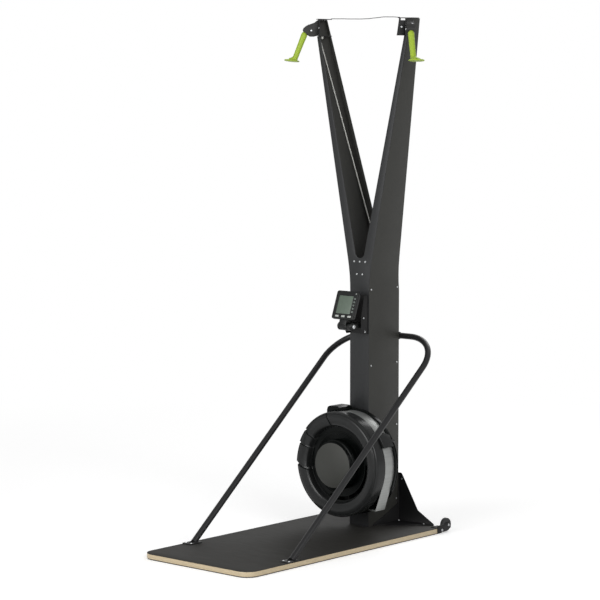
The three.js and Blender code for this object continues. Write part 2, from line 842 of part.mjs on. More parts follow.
// Closing strip inside the column's rear, with the pins of the idler pulleys
function addRearCover() {
  const face = (z) => rearAt(z) - sheet - gap;
  const section = (z) => {
    const x = outerAt(z) - sheet - gap;
    return { z, points: [[x, face(z) - sheet], [x, face(z)], [-x, face(z)], [-x, face(z) - sheet]] };
  };
  const heights = [deckTop + gap, ...bendHeights.filter((z) => z < coverTop), coverTop];
  const front = idlerPlane - idlerWidth * half - gap;
  const pins = [];
  for (const side of [1, -1]) {
    const x = side * idlerOffset;
    pins.push(rod(idlerPin, [x, front, idlerHeight], [x, face(idlerHeight) - sheet * half, idlerHeight]));
    pins.push(rod(idlerHead, [x, front - idlerHeadLength, idlerHeight], [x, front, idlerHeight]));
  }
  const supportBack = face(hubHeight) - sheet * half;
  const supportFront = supportBack - supportLength;
  const support = rod(supportRadius, [0, supportFront, hubHeight], [0, supportBack, hubHeight], roundSides);
  const bore = rod(axleBore, [0, supportFront - overrun, hubHeight], [0, supportBack - sheet, hubHeight],
    roundSides);
  add(machine, 'rear_cover', cut(join(loft(heights.map(section)), ...pins, support), bore), finish.frame);
}

function addCrotchPlate() {
  const section = (z) => {
    const front = frontAt(z) + sheet + gap;
    const x = crotchPlateHalfWidth;
    return { z, points: [[x, front], [x, front + crotchPlateThickness],
      [-x, front + crotchPlateThickness], [-x, front]] };
  };
  add(machine, 'crotch_plate', loft([crotchPlateBottom, crotchPlateTop].map(section)), finish.black);
}

function addColumnFoot() {
  const x = columnWidth * half - sheet - gap;
  const [front, rear] = [columnFront + footMargin + sheet, columnRear - footMargin - 2 * sheet];
  const bottom = deckTop + gap;
  const base = block(-x, x, front, rear, bottom, bottom + footPlateThickness);
  const tabs = [1, -1].map((side) => block(
    Math.min(side * x, side * (x - footTabThickness)), Math.max(side * x, side * (x - footTabThickness)),
    front, rear, bottom, bottom + footTabHeight));
  add(machine, 'column_foot', join(base, ...tabs), finish.black);
}

// Folded bracket behind the column: an upright plate, two side flanges and two foot flanges
function addRearBracket() {
  const bottom = deckTop + gap;
  const back = columnRear + gap;
  const halfOutline = [[bracketTopHalfWidth, bracketTop], bracketShoulder, bracketKnee, bracketToe,
    [bracketToe[0], bottom]];
  const outline = [...halfOutline, ...halfOutline.map(([x, z]) => [-x, z]).reverse()];
  const inner = columnWidth * half + gap;
  const rear = back + bracketSheet;
  const foot = [[inner, bracketFlangeFront], bracketFlangeMiddle, bracketFlangeRear,
    [bracketToe[0], back - bracketSheet], [bracketToe[0], rear], [inner, rear]];
  const cheek = [[sideFlangeFront, bottom], [sideFlangeFront, bottom + sideFlangeNose], sideFlangeMiddle,
    sideFlangeRear, [back, bracketTop - bracketSheet], [rear, bracketTop - bracketSheet], [rear, bottom]];
  const footRight = slab(foot, bottom, bracketSheet);
  const cheekRight = sidePlate(cheek, inner, bracketSheet);
  const upright = wall(outline, back, bracketSheet);
  add(machine, 'rear_bracket', join(upright, footRight, mirrored(footRight), cheekRight,
    mirrored(cheekRight)), finish.black);
}

function addWheels() {
  const inner = deckWidth * half + gap;
  const outer = inner + bracketSheet;
  const [wy, wz] = wheelCentre;
  const outline = [[wheelPlateFront, wheelPlateLow], [wy - wheelRadius * half, wheelPlateLow],
    [wheelPlateRear, wheelPlateEndLow], [wheelPlateRear, wz + axleHeadRadius],
    [deckLength - wheelRadius * half, wheelPlateHigh], [wheelPlateFront, wheelPlateHigh]];
  const plate = sidePlate(outline, inner, bracketSheet);
  const flangeInner = inner - wheelFlangeWidth;
  const flange = block(flangeInner, outer, wheelPlateFront, deckLength, deckTop + gap,
    deckTop + gap + bracketSheet);
  const wheelOuter = inner - wheelSideGap;
  const wheelInner = wheelOuter - wheelWidth;
  const pinEnd = wheelInner - gap;
  const pin = rod(wheelAxleRadius, [pinEnd - axleHeadLength, wy, wz], [outer, wy, wz]);
  const head = rod(axleHeadRadius, [pinEnd - axleHeadLength, wy, wz], [pinEnd, wy, wz]);
  addPair('wheel_bracket', join(plate, flange, pin, head), finish.black);
  const tread = wheelWidth * half;
  const wheel = turned([[wheelBore, -tread], [wheelRadius - wheelTreadInset, -tread],
    [wheelRadius, -tread + wheelTreadInset], [wheelRadius, tread - wheelTreadInset],
    [wheelRadius - wheelTreadInset, tread], [wheelBore, tread]], roundSides);
  wheel.rotateY(quarterTurn).translate((wheelOuter + wheelInner) * half, wy, wz);
  addPair('transport_wheel', wheel, finish.rubber);
}

function addBraces() {
  const radius = braceDiameter * half;
  const y = columnRear + gap + radius;
  const z = deckTop + gap + footPlateSheet;
  const middle = new THREE.Vector3(gap, y, braceHeight);
  const corner = new THREE.Vector3(braceHalfSpan, y, braceHeight);
  const legEnd = new THREE.Vector3(footHalfSpan, braceFootY, z);
  const run = legEnd.clone().sub(corner).normalize();
  const past = run.clone().multiplyScalar(radius * 2).add(legEnd);
  const route = [middle, ...bendPoints(middle, corner, legEnd, braceBendRadius, braceBendSteps), past];
  const underDeck = block(0, deckWidth, 0, deckLength, z - 3 * overrun, z - footPlateSheet * half);
  const leg = cut(tube(route, radius, braceSides), underDeck);
  const foot = block(footHalfSpan - footPlateWidth * half, footHalfSpan + footPlateWidth * half,
    braceFootY - footPlateForward, braceFootY + footPlateRearward, deckTop + gap, z);
  addPair('brace_tube', join(leg, foot), finish.tube);
}

// Saddle that holds both tubes' ends against the column's back
function addBraceClamp() {
  const radius = braceDiameter * half;
  const y = columnRear + gap + radius;
  const [inner, outer] = [radius + gap, radius + gap + clampSheet];
  const bow = (r, from, to) => arcPoints(r, from, to, Math.PI / halfTurnSteps)
    .map(([a, b]) => [y + a, braceHeight + b]);
  const face = columnRear + gap;
  const reach = outer + clampFlange;
  const outline = [
    [face, braceHeight - reach], [face + clampSheet, braceHeight - reach],
    [face + clampSheet, braceHeight - outer],
    ...bow(outer, -quarterTurn, quarterTurn),
    [face + clampSheet, braceHeight + outer], [face + clampSheet, braceHeight + reach],
    [face, braceHeight + reach], [face, braceHeight + inner],
    ...bow(inner, quarterTurn, -quarterTurn),
    [face, braceHeight - inner],
  ];
  add(machine, 'brace_clamp', sidePlate(outline, -clampHalfWidth, 2 * clampHalfWidth), finish.black);
}

// A grooved pulley about local Z
function pulley(bore, pitch, rim, width, cord) {
  const floor = pitch - cord * half - gap;
  const mid = width * half;
  const mouth = grooveWidth * half;
  return turned([[bore, -mid], [rim, -mid], [rim, -mouth - gap], [floor, -mouth + gap * 2],
    [floor, mouth - gap * 2], [rim, mouth + gap], [rim, mid], [bore, mid]], pulleySides);
}

// Places a piece made about local Z so that it turns about the machine's Y
function alongY(geometry, x, y, z) {
  return geometry.rotateX(quarterTurn).translate(x, y, z);
}

function topWall() {
  const x1 = housingRear - 2 * gap;
  const [low, high] = [housingRearFoot - topSheet - gap, housingTopRear + gap + topSheet];
  const plate = sidePlate([[-topWallFootReach, low], [-housingHalfWidth, low], [-housingHalfWidth, high],
    [-topWallReach, high]], x1 - topSheet, topSheet);
  const window = block(x1 - overrun, x1 + overrun, topWindowFrom, topWindowTo,
    high - topSheet - topWindowHeight, high - topSheet);
  return inPulleyFrame(cut(plate, window));
}

function addTopBrackets() {
  const lowTop = pulleyCentre[2] + housingRearFoot - gap;
  const highBottom = pulleyCentre[2] + housingTopRear + gap;
  const flange = (outer, z, top) => {
    const rear = Math.min(topBracketRear, rearAt(top) - sheet - gap);
    return slab([[topBracketInner, topBracketFront], [topBracketInner + topFlangeLip, topBracketFront],
      [outer, frontAt(top) + sheet], [outer, rear], [topBracketInner, rear]], z, topSheet);
  };
  const low = flange(outerAt(lowTop - topSheet) - sheet - gap, lowTop - topSheet, lowTop);
  const high = flange(outerAt(armTop), highBottom, armTop);
  const { housingRoom } = topRooms();
  addPair('pulley_bracket', join(cut(low, housingRoom, cordWay()), cut(high, housingRoom), topWall()),
    finish.black);
}

function addPulleyHousings() {
  const shell = wall(housingOutline, -housingHalfWidth, 2 * housingHalfWidth);
  const room = rod(housingCavityRadius, [0, -housingCavity, 0], [0, housingCavity, 0], roundSides);
  const well = block(housingRear - overrun, 0, -housingCavity, housingCavity,
    housingRearFoot - overrun, housingWellTop);
  const exitWay = block(pulleyPitch - exitHalfDepth, pulleyPitch + exitHalfDepth,
    -exitHalfWidth, exitHalfWidth, -2 * housingCavityRadius, 0).rotateY(-handleLean);
  const pinReach = housingHalfWidth + pinHeadLength;
  const pin = rod(pulleyPin, [0, -pinReach, 0], [0, pinReach, 0]);
  const heads = [1, -1].map((side) => rod(pinHeadRadius,
    [0, side * (housingHalfWidth - gap), 0], [0, side * pinReach, 0]));
  const housing = join(cut(shell, room, well, exitWay), pin, ...heads);
  addPair('pulley_housing', cut(inPulleyFrame(housing), cordWay()), finish.plastic);
  const wheel = pulley(pulleyBore, pulleyPitch, pulleyRim, pulleyWidth, cordDiameter);
  addPair('top_pulley', inPulleyFrame(wheel.rotateX(quarterTurn)), finish.nylon);
}

// A point of the pulley's plane, forward and up from the pulley's centre
function pulleyPoint(forward, up, across = 0) {
  const [x, y, z] = pulleyCentre;
  const [c, s] = [Math.cos(pulleyTurn), Math.sin(pulleyTurn)];
  return new THREE.Vector3(x + c * forward + s * across, y - s * forward + c * across, z + up);
}

// Direction in which a handle is pulled
const pullDirection = pulleyPoint(Math.sin(handleLean), -Math.cos(handleLean)).sub(pulleyPoint(0, 0));
const cordExit = pulleyPoint(pulleyPitch * Math.cos(handleLean), pulleyPitch * Math.sin(handleLean));

function addHandles() {
  const profile = [[0, 0], [gripTopRadius - gripTopRound, 0], [gripTopRadius, -gripTopRound],
    [gripWaistRadius, -gripLength * half], [gripBottomRadius, flareHeight - gripLength],
    [gripBottomRadius, palmRoot - gripLength], [0, palmRoot - gripLength]];
  const grip = turned(profile, handleSides).scale(gripFlatShare, 1, 1);
  const flare = turned([[0, flareHeight], [gripBottomRadius - gap, flareHeight], [flareRadius, palmThickness],
    [flareRadius, palmRoot], [0, palmRoot]], handleSides);
  flare.scale(gripFlatShare, 1, 1).translate(0, 0, -flareHeight).applyMatrix4(new THREE.Matrix4()
    .makeShear(0, 0, 0, 0, -flareForward / flareHeight, -flareAcross / flareHeight));
  flare.translate(0, 0, flareHeight - gripLength);
  const palm = turned([[0, 0], [palmRadius - palmEdge, 0], [palmRadius, -palmThickness * half],
    [palmRadius - palmEdge, -palmThickness], [0, -palmThickness]], handleSides);
  palm.rotateX(-palmRoll).rotateY(palmTilt).translate(palmForward, palmAcross, palmThickness - gripLength);
  const handle = join(grip, flare, palm).rotateY(-handleLean);
  const top = pullDirection.clone().multiplyScalar(handleStart).add(cordExit);
  addPair('handle', handle.rotateZ(-pulleyTurn).translate(top.x, top.y, top.z), finish.grip);
  const start = pullDirection.clone().multiplyScalar(gap).add(cordExit);
  const end = pullDirection.clone().multiplyScalar(handleStart - gap).add(cordExit);
  addPair('handle_cord', tube([start, end], cordDiameter * half, cordSides), finish.cord);
}

// Where the right-hand drive cord leaves its top pulley, passes the arm's web and meets its idler
const departure = Math.PI - Math.asin(cordFall);
const cordTop = pulleyPoint(pulleyPitch * Math.cos(departure), pulleyPitch * Math.sin(departure));
const cordEntryHeight = pulleyCentre[2] + housingRearFoot - cordEntryDrop;
const cordEntry = new THREE.Vector3(outerAt(cordEntryHeight) - sheet - cordRoom - cordDiameter * half,
  frontAt(cordEntryHeight) + 2 * sheet + gap + cordRoom + cordDiameter * half, cordEntryHeight);

function cordWay() {
  return rod(cordRoom + cordDiameter * half, cordTop.toArray(), cordEntry.toArray());
}

function idlerPoint(angle) {
  return new THREE.Vector3(idlerOffset - idlerPitch * Math.cos(angle), idlerPlane,
    idlerHeight + idlerPitch * Math.sin(angle));
}
const arrival = Math.atan2(cordEntry.x - idlerOffset + idlerPitch, cordEntry.z - idlerHeight);

// Each drive cord runs over its top pulley, past its idler and down to its drum
function driveRoute(side, drumY) {
  const over = arcPoints(pulleyPitch, handleLean, departure, cordStep).map(([c, s]) => pulleyPoint(c, s));
  const below = Math.atan2(idlerOffset - idlerPitch + side * drumPitch, idlerHeight - hubHeight);
  const past = [arrival, (arrival + below) * half, below].map(idlerPoint);
  const route = [...over, cordEntry, ...past].map((p) => new THREE.Vector3(side * p.x, p.y, p.z));
  return [...route, new THREE.Vector3(-drumPitch, drumY, hubHeight)];
}

function drumMiddle(index) {
  const length = 2 * drumFlange + drumBarrel;
  return columnFront - drumStart[index] + (index === 0 ? spoolBarrel + drumFlange : 0) + length * half;
}

function spoolMiddle(index) {
  const start = columnFront - drumStart[index];
  if (index === 0) return start + drumFlange + spoolBarrel * half;
  return start + 2 * drumFlange + drumBarrel + spoolBarrel * half;
}

function addCords() {
  sides.forEach(([name, side], index) => {
    const drive = tube(driveRoute(side, drumMiddle(1 - index)), cordDiameter * half, cordSides);
    add(machine, `drive_cord_${name}`, drive, finish.cord);
    const y = spoolMiddle(1 - index);
    const top = arcPoints(returnPitch, Math.PI, 0, Math.PI / halfTurnSteps)
      .map(([x, z]) => [returnOffset + x, y, returnHeight + z]);
    const bottom = deckTop + 2 * gap + footPlateThickness;
    const shock = tube([[spoolPitch, y, hubHeight], ...top, [returnOffset + returnPitch, y, bottom]],
      shockDiameter * half, cordSides);
    add(machine, `shock_cord_${name}`, shock, finish.shock);
  });
}

function addIdlers() {
  const idler = pulley(idlerBore, idlerPitch, idlerRim, idlerWidth, cordDiameter);
  addPair('arm_foot_pulley', alongY(idler, idlerOffset, idlerPlane, idlerHeight), finish.nylon);
  sides.forEach(([name], index) => {
    const wheel = pulley(idlerBore, returnPitch, returnRim, returnWidth, shockDiameter);
    add(machine, `return_pulley_${name}`,
      alongY(wheel, returnOffset, spoolMiddle(1 - index), returnHeight), finish.nylon);
  });
}

// Cross plate between the column's sides that carries the return pulleys
function addReturnPlate() {
  const x = columnWidth * half - sheet - gap;
  const y = (spoolMiddle(0) + spoolMiddle(1)) * half;
  const plate = block(-x, x, y - returnPlateThickness * half, y + returnPlateThickness * half,
    returnHeight - returnPlateHeight * half, returnHeight + returnPlateHeight * half);
  const pins = [0, 1].flatMap((index) => {
    const away = Math.sign(spoolMiddle(index) - y);
    const face = spoolMiddle(index) + away * (returnWidth * half + gap);
    return [
      rod(idlerPin, [returnOffset, y, returnHeight], [returnOffset, face, returnHeight]),
      rod(idlerHead, [returnOffset, face, returnHeight],
        [returnOffset, face + away * idlerHeadLength, returnHeight]),
    ];
  });
  add(machine, 'return_plate', join(plate, ...pins), finish.black);
}

// Thin cable between the tops of the arms
function addTieCable() {
  const x = topBracketInner - gap;
  const z = pulleyCentre[2] + housingTopRear + gap + topSheet * half + tieLift;
  const [yLeft, yRight] = [topBracketRear - tieLeftInset, topBracketFront + tieRightInset];
  const route = tieShares.map(([share, dip]) => [x * (2 * share - 1), yLeft + (yRight - yLeft) * share,
    z - tieSag * dip]);
  add(machine, 'tie_cable', tube(route, tieDiameter * half, cordSides), finish.shock);
}

const flywheelGroup = new THREE.Group();
flywheelGroup.position.set(0, columnFront, hubHeight);
flywheelGroup.rotation.x = quarterTurn;
machine.add(flywheelGroup);

function addRearHousing() {
  const dish = turned([[bearingSeat, rearHubBack], [rearHubRadius, rearHubBack],
    [rearHubRadius, rearPlateBack], [housingRadius, rearPlateBack], [housingRadius, rearRingFront],
    [shellInner, rearRingFront], [shellInner, rearPlateFront], [rearHubRadius, rearPlateFront],
    [rearHubRadius, rearHubFront], [bearingSeat, rearHubFront]], housingSides);
  const standoffs = [[1, 1], [1, -1], [-1, 1], [-1, -1]].map(([a, b]) => rod(standoffRadius,
    [a * standoffX, b * standoffZ, gap], [a * standoffX, b * standoffZ, rearPlateFront - gap]));
  const skirt = arcWall(bandInner, bandInner + skirtThickness, skirtStart, skirtEnd,
    rearRingFront - floorThickness, bandFront);
  const [left, right] = topBlockSides;
  const shoulder = topBlockHeight - topBlockCorner;
  const corner = topBlockCorner * (1 - Math.SQRT1_2);
  const top = cut(slab([[right, topBlockFoot], [right, shoulder], [right - corner, topBlockHeight - corner],
    [right - topBlockCorner, topBlockHeight], [left + topBlockCorner, topBlockHeight],
    [left + corner, topBlockHeight - corner], [left, shoulder], [left, topBlockFoot]],
  rearRingFront - floorThickness, topBlockFront - rearRingFront + floorThickness),
  washer(shellInner - 2 * overrun, shellInner, 0, topBlockFront + overrun, housingSides),
  washer(shellInner - overrun, housingRadius + blockLift, rearRingFront + gap, topBlockFront + overrun,
    housingSides));
  const slot = arcWall(shellInner - overrun, housingRadius + overrun, leverAngle - damperTravel - slotMargin,
    leverAngle + slotMargin, damperBack - slotClearance, damperBack + damperThickness + slotClearance);
  add(flywheelGroup, 'rear_housing', cut(join(dish, ...standoffs, skirt, top), slot), finish.plastic);
}

// Round band that leaves its circle along a tangent and ends in a lug folded inward
function addScreenBand() {
  const [z0, z1] = [rearRingFront + gap, bandFront];
  const round = arcWall(bandInner, bandOuter, bandRelease, bandEnd, z0, z1);
  const run = block(bandInner, bandOuter, -bandRun, gap, z0, z1).rotateZ(bandRelease);
  const [c, s] = [Math.cos(bandRelease), Math.sin(bandRelease)];
  const [x, y] = [bandOuter * c + bandRun * s, bandOuter * s - bandRun * c];
  const lug = block(x - lugReach, x, y - bandSheet, y + bandSheet, z0, z1);
  add(flywheelGroup, 'screen_band', join(round, run, lug), finish.screenMesh);
}

// The front shell's outer face, lowered by a drop
function faceProfile(drop) {
  return [[recessTopRadius, shellFrontInner - drop], [crestRadius, shellFront - drop],
    [shoulderRadius, shellShoulder - drop], [grooveRadius, shellGroove - drop],
    [ringRadius, shellRing - drop], [roundRadius, shellRound - drop], [housingRadius, shellSideTop - drop]];
}

function addFrontHousing() {
  const shell = turned([
    [bearingSeat, hubPlateTop], [hubWallInner, hubPlateTop], [hubWallInner, hubWallTop],
    [hubWallOuter, hubWallTop], [hubWallOuter, recessFloor], [recessFloorRadius, recessFloor],
    ...faceProfile(0), [housingRadius, shellStep], [stepRadius, shellStep], [stepRadius, shellRear],
    [shellInner, shellRear], [shellInner, shellInside], [insideCrestRadius, shellInsideCrest],
    [recessFloorRadius + floorThickness, recessFloor - floorThickness],
    [bearingSeat, recessFloor - floorThickness],
  ], housingSides);
  const cutters = louvreDrop.map((drop, i) => {
    const above = turned([...faceProfile(drop), [housingRadius + overrun, shellSideTop - drop],
      [housingRadius + overrun, shellFront + overrun], [recessTopRadius, shellFront + overrun]],
    housingSides);
    const inner = recessTopRadius - overrun;
    const outer = housingRadius + 2 * overrun;
    const sector = [...arcPoints(outer, louvreRim[i], louvreRim.at(-1)),
      ...arcPoints(inner, louvreRecess.at(-1), louvreRecess[i])];
    return common(above, slab(sector, recessFloor, 3 * overrun));
  });
  const outerEdge = arcPoints(ventOuterRadius, ventFrom, ventTo);
  const innerEdge = arcPoints(1, ventTo, ventFrom).map(([c, s], i, all) => {
    const share = Math.abs(2 * i / (all.length - 1) - 1);
    const radius = ventInnerRadius + ventTaper * share * share;
    return [c * radius, s * radius];
  });
  const vent = slab([...outerEdge, ...innerEdge], recessFloor - overrun, 2 * overrun);
  add(flywheelGroup, 'front_housing', cut(shell, join(...cutters), vent), finish.plastic);
}

function addCentreCap() {
  const back = hubWallTop + gap;
  add(flywheelGroup, 'centre_cap', turned([
    [0, capFront], [capFaceRadius - capEdge, capFront], [capFaceRadius, capFront - capEdge],
    [capWaistRadius, capWaistFront], [capRimRadius, capRimFront], [capRimRadius, back],
    [hubWallInner, back], [capWaistRadius - capWall, capRimFront - capWall],
    [capFaceRadius - capWall, capFront - capWall], [0, capFront - capWall],
  ], housingSides), finish.plastic);
}

function addDamperRing() {
  const ring = washer(damperInner, damperOuter, damperBack, damperBack + damperThickness, housingSides);
  const neck = block(damperOuter - overrun, leverOuter, -leverNeck * half, leverNeck * half,
    damperBack, damperBack + damperThickness);
  const stem = block(leverInner, leverOuter, -leverNeck * half, leverNeck * half,
    damperBack, leverBack + damperThickness);
  const knob = sidePlate([[-leverHalfWidth, leverBack], [leverHalfWidth, leverBack],
    [leverPeak, (leverBack + leverFront) * half], [leverHalfWidth, leverFront],
    [-leverHalfWidth, leverFront]], leverInner, leverOuter - leverInner);
  const lever = join(neck, stem, knob).rotateZ(leverAngle);
  add(flywheelGroup, 'damper_ring', join(ring, lever), finish.plastic);
}

function addFlywheel() {
  const discFront = flywheelDiscBack + flywheelDiscThickness;
  const disc = turned([[axleBore, flywheelHubBack], [flywheelHubRadius, flywheelHubBack],
    [flywheelHubRadius, flywheelDiscBack], [flywheelRadius, flywheelDiscBack],
    [flywheelRadius, discFront], [flywheelHubRadius, discFront],
    [flywheelHubRadius, flywheelHubFront], [axleBore, flywheelHubFront]], flywheelSides);
  const vanes = Array.from({ length: vaneCount }, (_, i) => block(
    vaneInner, flywheelRadius - gap, -vaneThickness * half, vaneThickness * half,
    discFront - gap, vaneFront).rotateZ(2 * Math.PI * i / vaneCount));
  add(flywheelGroup, 'flywheel', join(disc, ...vanes), finish.steel);
  add(flywheelGroup, 'axle', rod(axleRadius, [0, 0, axleBack], [0, 0, axleFront], roundSides), finish.steel);
  add(flywheelGroup, 'rear_bearing',
    washer(axleBore, bearingOuter, rearHubBack + gap, rearHubFront - gap, roundSides), finish.steel);
  add(flywheelGroup, 'front_bearing',
    washer(axleBore, bearingOuter, recessFloor - floorThickness, hubPlateTop, roundSides), finish.steel);
}

// The left cord's drum comes first from the front, and has its spool in front
function addDrums() {
  const barrel = drumPitch - cordDiameter * half - gap;
  const spool = spoolPitch - shockDiameter * half - gap;
  const flange = drumFlange;
  const drum = [[axleBore, 0], [drumRim, 0], [drumRim, -flange], [barrel, -flange],
    [barrel, -flange - drumBarrel], [drumRim, -flange - drumBarrel], [drumRim, -2 * flange - drumBarrel],
    [spool, -2 * flange - drumBarrel], [spool, -2 * flange - drumBarrel - spoolBarrel],
    [spoolRim, -2 * flange - drumBarrel - spoolBarrel], [spoolRim, -3 * flange - drumBarrel - spoolBarrel],
    [axleBore, -3 * flange - drumBarrel - spoolBarrel]];
  const flipped = drum.map(([r, z]) => [r, -drumLength - z]).reverse();
  const rear = turned(drum, roundSides).translate(0, 0, drumStart[1]);
  const front = turned(flipped, roundSides).translate(0, 0, drumStart[0]);
  add(flywheelGroup, 'cord_drum_left', front, finish.nylon);
  add(flywheelGroup, 'cord_drum_right', rear, finish.nylon);
}

const monitorGroup = new THREE.Group();
monitorGroup.position.set(0, ...monitorCentre);
monitorGroup.rotation.x = quarterTurn - monitorTilt;
machine.add(monitorGroup);

function roundedRect(width, height, radius, cx = 0, cy = 0) {
  const [x, y] = [width * half - radius, height * half - radius];
  return [[x, y, 0], [-x, y, 1], [-x, -y, 2], [x, -y, 3]].flatMap(([a, b, turn]) => (
    arcPoints(radius, turn * quarterTurn, (turn + 1) * quarterTurn, quarterTurn / smallCornerSteps)
      .map(([c, s]) => [cx + a + c, cy + b + s])));
}

function keyPlaces() {
  const menu = menuKeyPlaces.map((x, i) => ({ name: `menu_button_${i + 1}`, x, y: menuKeyY, size: menuKey }));
  const side = Array.from({ length: sideKeyCount }, (_, i) => (
    { name: `side_button_${i + 1}`, x: sideKeyX, y: sideKeyTop - i * sideKeyPitch, size: sideKey }));
  return [...menu, ...side];
}

function yokeLocal() {
  const [cy, cz] = monitorCentre;
  const [dy, dz] = [yokeCentre[0] - cy, yokeCentre[1] - cz];
  const turn = quarterTurn - monitorTilt;
  return [dy * Math.cos(turn) + dz * Math.sin(turn), -dy * Math.sin(turn) + dz * Math.cos(turn)];
}

function addMonitor() {
  const front = slab(roundedRect(monitorWidth, monitorHeight, monitorCorner), -monitorRim, monitorRim);
  const inset = 2 * monitorBackInset;
  const back = slab(roundedRect(monitorWidth - inset, monitorHeight - inset, monitorCorner),
    -monitorDepth, monitorDepth - monitorRim * half);
  const [sx, sy] = screenCentre;
  const window = block(sx - screenWidth * half, sx + screenWidth * half, sy - screenHeight * half,
    sy + screenHeight * half, -screenRecess, overrun);
  const wells = keyPlaces().map(({ x, y, size: [w, h] }) => block(
    x - w * half - keyClear, x + w * half + keyClear,
    y - h * half - keyClear, y + h * half + keyClear, -keyDepth, overrun));
  const [yy, yz] = yokeLocal();
  const strap = block(-neckHalfWidth, neckHalfWidth, yy, strapRise - monitorHeight * half,
    yz - yokeRadius * half, -monitorRim);
  const eye = rod(yokeRadius, [-neckHalfWidth, yy, yz], [neckHalfWidth, yy, yz], roundSides);
  const boreEnd = neckHalfWidth + overrun;
  const bore = rod(pivotRadius + lugClear, [-boreEnd, yy, yz], [boreEnd, yy, yz]);
  const body = cut(join(front, back, strap, eye), window, ...wells, bore);
  add(monitorGroup, 'monitor_case', body, finish.plastic);
  add(monitorGroup, 'monitor_screen', block(sx - screenWidth * half + gap, sx + screenWidth * half - gap,
    sy - screenHeight * half + gap, sy + screenHeight * half - gap, -screenRecess + gap,
    -screenRecess + gap + screenThickness), finish.display);
  keyPlaces().forEach(({ name, x, y, size: [w, h] }) => add(monitorGroup, name,
    slab(roundedRect(w, h, keyCorner, x, y), 2 * keyProud - keyDepth, keyDepth - keyProud), finish.key));
}

// Round yoke under the monitor, in two knuckles on one pivot bolt, and its bracket on the column
function addMonitorMount() {
  const [yy, yz] = yokeCentre;
  const inner = neckHalfWidth + neckClear;
  const knuckle = (end, side) => turned([[0, inner], [yokeRadius, inner], [yokeRadius, end - yokeEndRound],
    [yokeRadius - yokeEndRound, end], [0, end]], roundSides).rotateY(side * quarterTurn).translate(0, yy, yz);
  const pin = rod(pivotRadius, [-inner - gap, yy, yz], [inner + gap, yy, yz]);
  const head = rod(pivotHeadRadius, [yokeRight - gap, yy, yz], [yokeRight + pivotHeadLength, yy, yz]);
  const arm = (x0) => block(x0, x0 + yokeArmWidth, yy, yokeArmBack, yz - yokeRadius * half,
    yz + yokeRadius * half);
  const yoke = join(knuckle(yokeRight, 1), knuckle(yokeLeft, -1), pin, head,
    arm(yokeRight - yokeEndRound - yokeArmWidth), arm(yokeEndRound - yokeLeft));
  add(machine, 'monitor_yoke', yoke, finish.plastic);
  const face = columnFront - gap;
  const back = block(-cheekHalfSpan, cheekHalfSpan, face - mountPlateThickness, face,
    mountPlateBottom, mountPlateTop);
  const outline = [[face, mountPlateBottom], [face, mountPlateTop], [cheekTop, mountPlateTop],
    [cheekFront, yz + yokeRadius + cheekNoseHeight], [cheekFront, yz - yokeRadius * half],
    [cheekTop, mountPlateBottom]];
  const cheek = sidePlate(outline, cheekHalfSpan - cheekThickness, cheekThickness);
  const shelf = block(-cheekHalfSpan + cheekThickness * half, cheekHalfSpan - cheekThickness * half,
    yokeArmBack + gap, face - mountPlateThickness * half, yz - yokeRadius * half, yz + yokeRadius * half);
  add(machine, 'monitor_bracket', join(back, cheek, mirrored(cheek), shelf), finish.black);
}

addDeck();
addFrontPanel();
addSidePanels();
addRearCover();
addCrotchPlate();
addColumnFoot();
addRearBracket();
addWheels();
addBraces();
addBraceClamp();
addTopBrackets();
addPulleyHousings();
addHandles();
addCords();
addIdlers();
addReturnPlate();
addTieCable();
addRearHousing();
addScreenBand();
addFrontHousing();
addCentreCap();
addDamperRing();
addFlywheel();
addDrums();
addMonitor();
addMonitorMount();

export default machine;
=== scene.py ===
"""Dresses the ski ergometer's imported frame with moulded, painted and braided surfaces.

Lengths in the code are millimetres unless they are properties, which are metres.
Y is counted from the deck's front edge until a point is placed in the frame.
"""

import json
import math

import bmesh
import bpy
from bpy.props import FloatProperty, FloatVectorProperty, IntProperty, PointerProperty
from mathutils import Matrix, Vector

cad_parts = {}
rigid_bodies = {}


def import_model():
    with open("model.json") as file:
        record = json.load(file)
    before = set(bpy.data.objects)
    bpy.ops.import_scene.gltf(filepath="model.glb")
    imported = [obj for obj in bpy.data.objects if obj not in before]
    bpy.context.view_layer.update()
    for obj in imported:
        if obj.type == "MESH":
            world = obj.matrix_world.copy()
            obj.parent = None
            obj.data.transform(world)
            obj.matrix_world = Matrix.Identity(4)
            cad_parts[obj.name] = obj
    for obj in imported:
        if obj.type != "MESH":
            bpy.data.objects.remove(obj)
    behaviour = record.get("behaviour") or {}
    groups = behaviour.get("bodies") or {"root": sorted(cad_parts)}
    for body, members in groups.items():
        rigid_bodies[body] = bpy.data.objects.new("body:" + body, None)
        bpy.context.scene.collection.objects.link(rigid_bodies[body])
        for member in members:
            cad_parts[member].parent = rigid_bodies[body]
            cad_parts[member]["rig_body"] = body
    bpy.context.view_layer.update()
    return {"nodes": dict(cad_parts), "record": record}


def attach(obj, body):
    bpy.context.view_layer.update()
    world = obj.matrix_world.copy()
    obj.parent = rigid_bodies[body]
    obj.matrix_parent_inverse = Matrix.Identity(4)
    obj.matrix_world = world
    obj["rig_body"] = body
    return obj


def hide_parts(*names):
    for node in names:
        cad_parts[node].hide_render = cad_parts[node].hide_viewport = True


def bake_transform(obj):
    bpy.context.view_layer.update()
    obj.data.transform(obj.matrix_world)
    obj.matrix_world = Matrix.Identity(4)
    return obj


bl_info = {
    "name": "Ski Ergometer Dressing",
    "version": (1, 0, 0),
    "blender": (4, 5, 0),
    "location": "View3D > Sidebar > Ski Ergometer",
    "description": "Adds moulded shells, grips, cords, screws and finishes to the ski ergometer's frame",
    "category": "Add Mesh",
}

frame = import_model()

MM = 0.001
TO_METRES = Matrix.Diagonal((MM, MM, MM, 1))
SHARP = math.radians(30)
SIDES = (("right", 1), ("left", -1))

